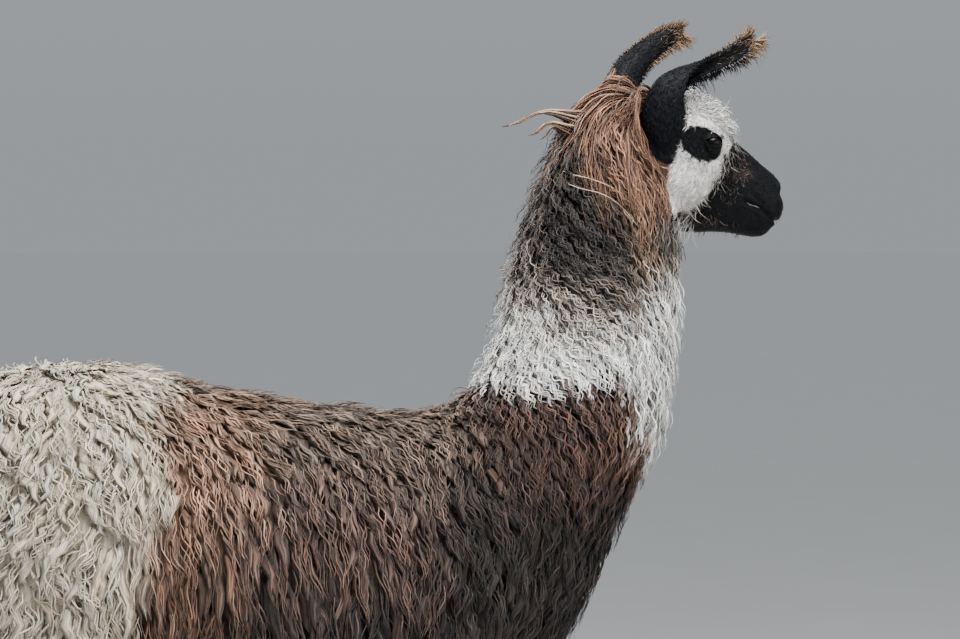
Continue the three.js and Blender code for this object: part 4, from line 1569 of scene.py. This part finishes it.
def coat_look(name, rough, sheen, shine):
    """Hair in fine strands along each lock, more marked where it is dark."""
    look = Look(name)
    tint = look.tint()
    lock_map = look.node("UVMap", {}, uv_map="lock").outputs["UV"]
    sockets = {"Scale": 1.0, "Detail": 3.0, "Roughness": 0.6}
    strands = look.noise(look.stretched(lock_map, (2.6, 0.7, 1.0)), sockets, noise_dimensions="2D")
    grey = look.node("RGBToBW", {"Color": tint}).outputs["Val"]
    shades = {
        "Factor": look.ranged(grey, 0.0, 1.0, 0.1, 0.5),
        "A": look.ranged(strands, 0.35, 1.7, 0.4, 0.6),
        "B": look.ranged(strands, 0.6, 1.16, 0.4, 0.6),
    }
    shade = look.node("Mix", shades, data_type="FLOAT").outputs[0]
    return look.surface({
        "Base Color": look.multiplied(tint, shade),
        "Roughness": look.ranged(strands, rough + 0.1, rough - 0.1),
        "Normal": look.raised(strands, 0.9, 0.003),
        "Specular IOR Level": shine,
        "Sheen Weight": sheen,
        "Sheen Roughness": 0.4,
    })


def skin_look():
    """Skin with fine hair upright on it."""
    look = Look("skin")
    where = look.place()
    fine = look.noise(where, {"Scale": 420.0, "Detail": 4.0})
    hairs = look.noise(look.stretched(where, (230.0, 230.0, 38.0)), {"Scale": 1.0, "Detail": 3.0})
    colour = look.multiplied(look.tint(), look.ranged(fine, 0.8, 1.15))
    return look.surface({
        "Base Color": look.multiplied(colour, look.ranged(hairs, 0.6, 1.3)),
        "Roughness": look.ranged(fine, 0.7, 0.5),
        "Normal": look.raised(hairs, 0.35, 0.001),
        "Specular IOR Level": 0.1,
    })


def eye_look():
    """A wet, almost black eye."""
    look = Look("eye")
    veins = look.noise(look.place(), {"Scale": 240.0})
    return look.surface({
        "Base Color": look.ramp(veins, (0.001, 0.001, 0.001), (0.005, 0.003, 0.002)),
        "Roughness": 0.07,
        "Specular IOR Level": 0.12,
    })


def nail_look():
    """Dark horn with a grain along it."""
    look = Look("nail")
    grain = look.noise(look.stretched(look.place(), (260.0, 60.0, 260.0)), {"Scale": 1.0, "Detail": 3.0})
    return look.surface({
        "Base Color": look.ramp(grain, (0.012, 0.010, 0.009), (0.075, 0.060, 0.048)),
        "Roughness": 0.45,
        "Normal": look.raised(grain, 0.4, 0.0008),
    })


def floor_look():
    """Pale plain matt floor."""
    look = Look("floor")
    grain = look.noise(look.place(), {"Scale": 3.0})
    return look.surface({
        "Base Color": look.ramp(grain, (0.40, 0.40, 0.395), (0.43, 0.43, 0.425)),
        "Roughness": 0.8,
    })


# ---- Eyes and nails ----


def add_eye(side, look):
    """An eyeball of rings about the way that it looks, with the cornea's bulge."""
    sign = -1 if side == "right" else 1
    centre = from_head(EYE_AT[0], EYE_AT[1], sign * EYE_AT[2])
    angle = np.linspace(0, np.pi, 34)[1:-1]
    around = np.linspace(0, 2 * np.pi, 64, endpoint=False)
    outward = HEAD_TURNED @ np.array([sign * 1.0, 0, 0])
    up = HEAD_TURNED @ np.array([0, 0, 1.0])
    ahead = np.cross(up, outward)
    bulge = 1.2 * bump(angle, 0.5)
    radius = (EYE_RADIUS + bulge) * MM
    rows = (
        centre
        + (outward * np.cos(angle)[:, None] * radius[:, None])[:, None]
        + np.sin(angle)[:, None, None]
        * radius[:, None, None]
        * (ahead * np.cos(around)[:, None] + up * np.sin(around)[:, None])
    )
    verts, faces = tube(rows)
    add_piece(f"eyeball_{side}", verts, faces, look, f"eye_{side}")


def add_piece(name, verts, faces, look, node):
    """A piece that stands in for a CAD node."""
    mesh = finished(new_bmesh(verts, faces), name)
    mesh.materials.append(look)
    piece = new_object(name, mesh)
    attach(piece, "root")
    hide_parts(node)


def add_nails(look):
    """Each CAD nail, rounded."""
    for node in [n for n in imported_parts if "nail" in n]:
        bm = new_bmesh(*weld(*mesh_arrays(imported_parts[node].data)))
        bmesh.ops.dissolve_limit(bm, angle_limit=math.radians(3), verts=bm.verts[:], edges=bm.edges[:])
        bmesh.ops.subdivide_edges(bm, edges=bm.edges[:], cuts=2, use_grid_fill=True, smooth=0.6)
        every_way = {"use_axis_x": True, "use_axis_y": True, "use_axis_z": True}
        bmesh.ops.smooth_vert(bm, verts=bm.verts[:], factor=0.5, **every_way)
        verts, faces = taken(bm)
        verts[:, 2] = np.maximum(verts[:, 2], 0.0006)
        add_piece(f"{node}_horn", verts, faces, look, node)


# ---- Stage ----

FLOOR_RADIUS = 60.0
LIGHTS = [
    # name, where it stands, what it points at, diameter, power and colour
    ("above", (-1.6, -0.6, 4.6), (0, -0.1, 1.0), 3.0, 500, (1.0, 0.98, 0.95)),
    ("front", (-4.0, -3.6, 2.2), (0, -0.4, 1.2), 3.0, 60, (1.0, 0.97, 0.94)),
    ("ahead", (-2.0, -6.0, 2.6), (0, -0.6, 1.3), 3.0, 120, (1.0, 0.99, 0.97)),
    ("behind", (3.5, 2.5, 3.2), (0, 0, 1.2), 2.6, 120, (0.94, 0.97, 1.0)),
]


def add_camera():
    """A camera that looks across the right side of the animal."""
    above = math.radians(CAMERA_ABOVE)
    way = Vector((-math.cos(above), 0, math.sin(above)))
    data = bpy.data.cameras.new("camera")
    data.sensor_width = 36
    data.lens = data.sensor_width * CAMERA_DISTANCE / VIEW_WIDTH
    data.clip_end = 200
    camera = new_object("camera", data)
    camera.location = Vector(place(*CAMERA_AIM)) + way * CAMERA_DISTANCE
    camera.rotation_euler = way.to_track_quat("Z", "Y").to_euler()
    bpy.context.scene.camera = camera


def add_lights():
    for name, at, aim, size, power, colour in LIGHTS:
        data = bpy.data.lights.new(name, "AREA")
        data.shape = "DISK"
        data.size = size
        data.energy = power
        data.color = colour
        light = new_object(name, data)
        light.location = at
        light.rotation_euler = (Vector(at) - Vector(aim)).to_track_quat("Z", "Y").to_euler()


def add_sky():
    """A soft overcast sky, almost three times as bright overhead as at the horizon."""
    world = bpy.data.worlds.new("sky")
    bpy.context.scene.world = world
    world.use_nodes = True
    nodes, links = world.node_tree.nodes, world.node_tree.links
    apart = nodes.new("ShaderNodeSeparateXYZ")
    links.new(nodes.new("ShaderNodeTexCoord").outputs["Generated"], apart.inputs["Vector"])
    bright = nodes.new("ShaderNodeMapRange")
    links.new(apart.outputs["Z"], bright.inputs["Value"])
    bright.inputs["To Min"].default_value = 0.38
    background = nodes["Background"]
    background.inputs["Color"].default_value = (0.90, 0.95, 1.0, 1)
    links.new(bright.outputs["Result"], background.inputs["Strength"])


def add_floor():
    around = np.linspace(0, 2 * np.pi, 96, endpoint=False)
    verts = np.stack([FLOOR_RADIUS * np.cos(around), FLOOR_RADIUS * np.sin(around), np.zeros(96)], -1)
    mesh = new_mesh("floor", verts, [tuple(range(96))])
    mesh.materials.append(floor_look())
    floor = new_object("floor", mesh)


# ---- Build ----


def painted(skin):
    """The skin's tint at each vertex: its markings, with painted shade under the fleece and under the hair of
    the brow.
    """
    tints = markings(skin.verts, 0.6)
    # Painted shade under the fleece, deepest under the dark coat.
    under = mix(0.4, 0.9, paleness(tints))
    tints *= mix(1.0, under, on_fleece(skin.verts))[:, None]
    h, v, _ = to_head(skin.verts)
    # Painted shade between the hairs of the brow.
    tints *= mix(1.0, 0.55, ease(24, 40, v) * ease(75, 45, h) * ease(-110, -90, h))[:, None]
    return tints


def main():
    mesh = whole_skin()
    skin_object = unwrapped(mesh)
    skin = Skin(mesh)
    print("skin", len(skin.tris), "triangles")
    add_tint(mesh, painted(skin))
    mesh.materials.append(skin_look())
    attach(skin_object, "root")
    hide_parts(*FLESH, "ear_right", "ear_left")

    ground = Ground(skin)
    wool = coat_look("wool", 0.62, 0.1, 0.25)
    fleece(skin, ground, wool)
    topknot(skin, ground, wool)
    swept_tufts(skin, wool)
    stray_hairs(skin, wool)
    short = coat_look("short_hair", 0.5, 0.0, 0.12)
    face_fur(skin, short)
    ear_fur(skin, short)
    ear_fringe(skin, short)
    face_strands(skin, short)
    leg_fur(skin, short)

    shiny = eye_look()
    add_eye("right", shiny)
    add_eye("left", shiny)
    add_nails(nail_look())
    add_floor()
    add_sky()
    add_lights()
    add_camera()


main()
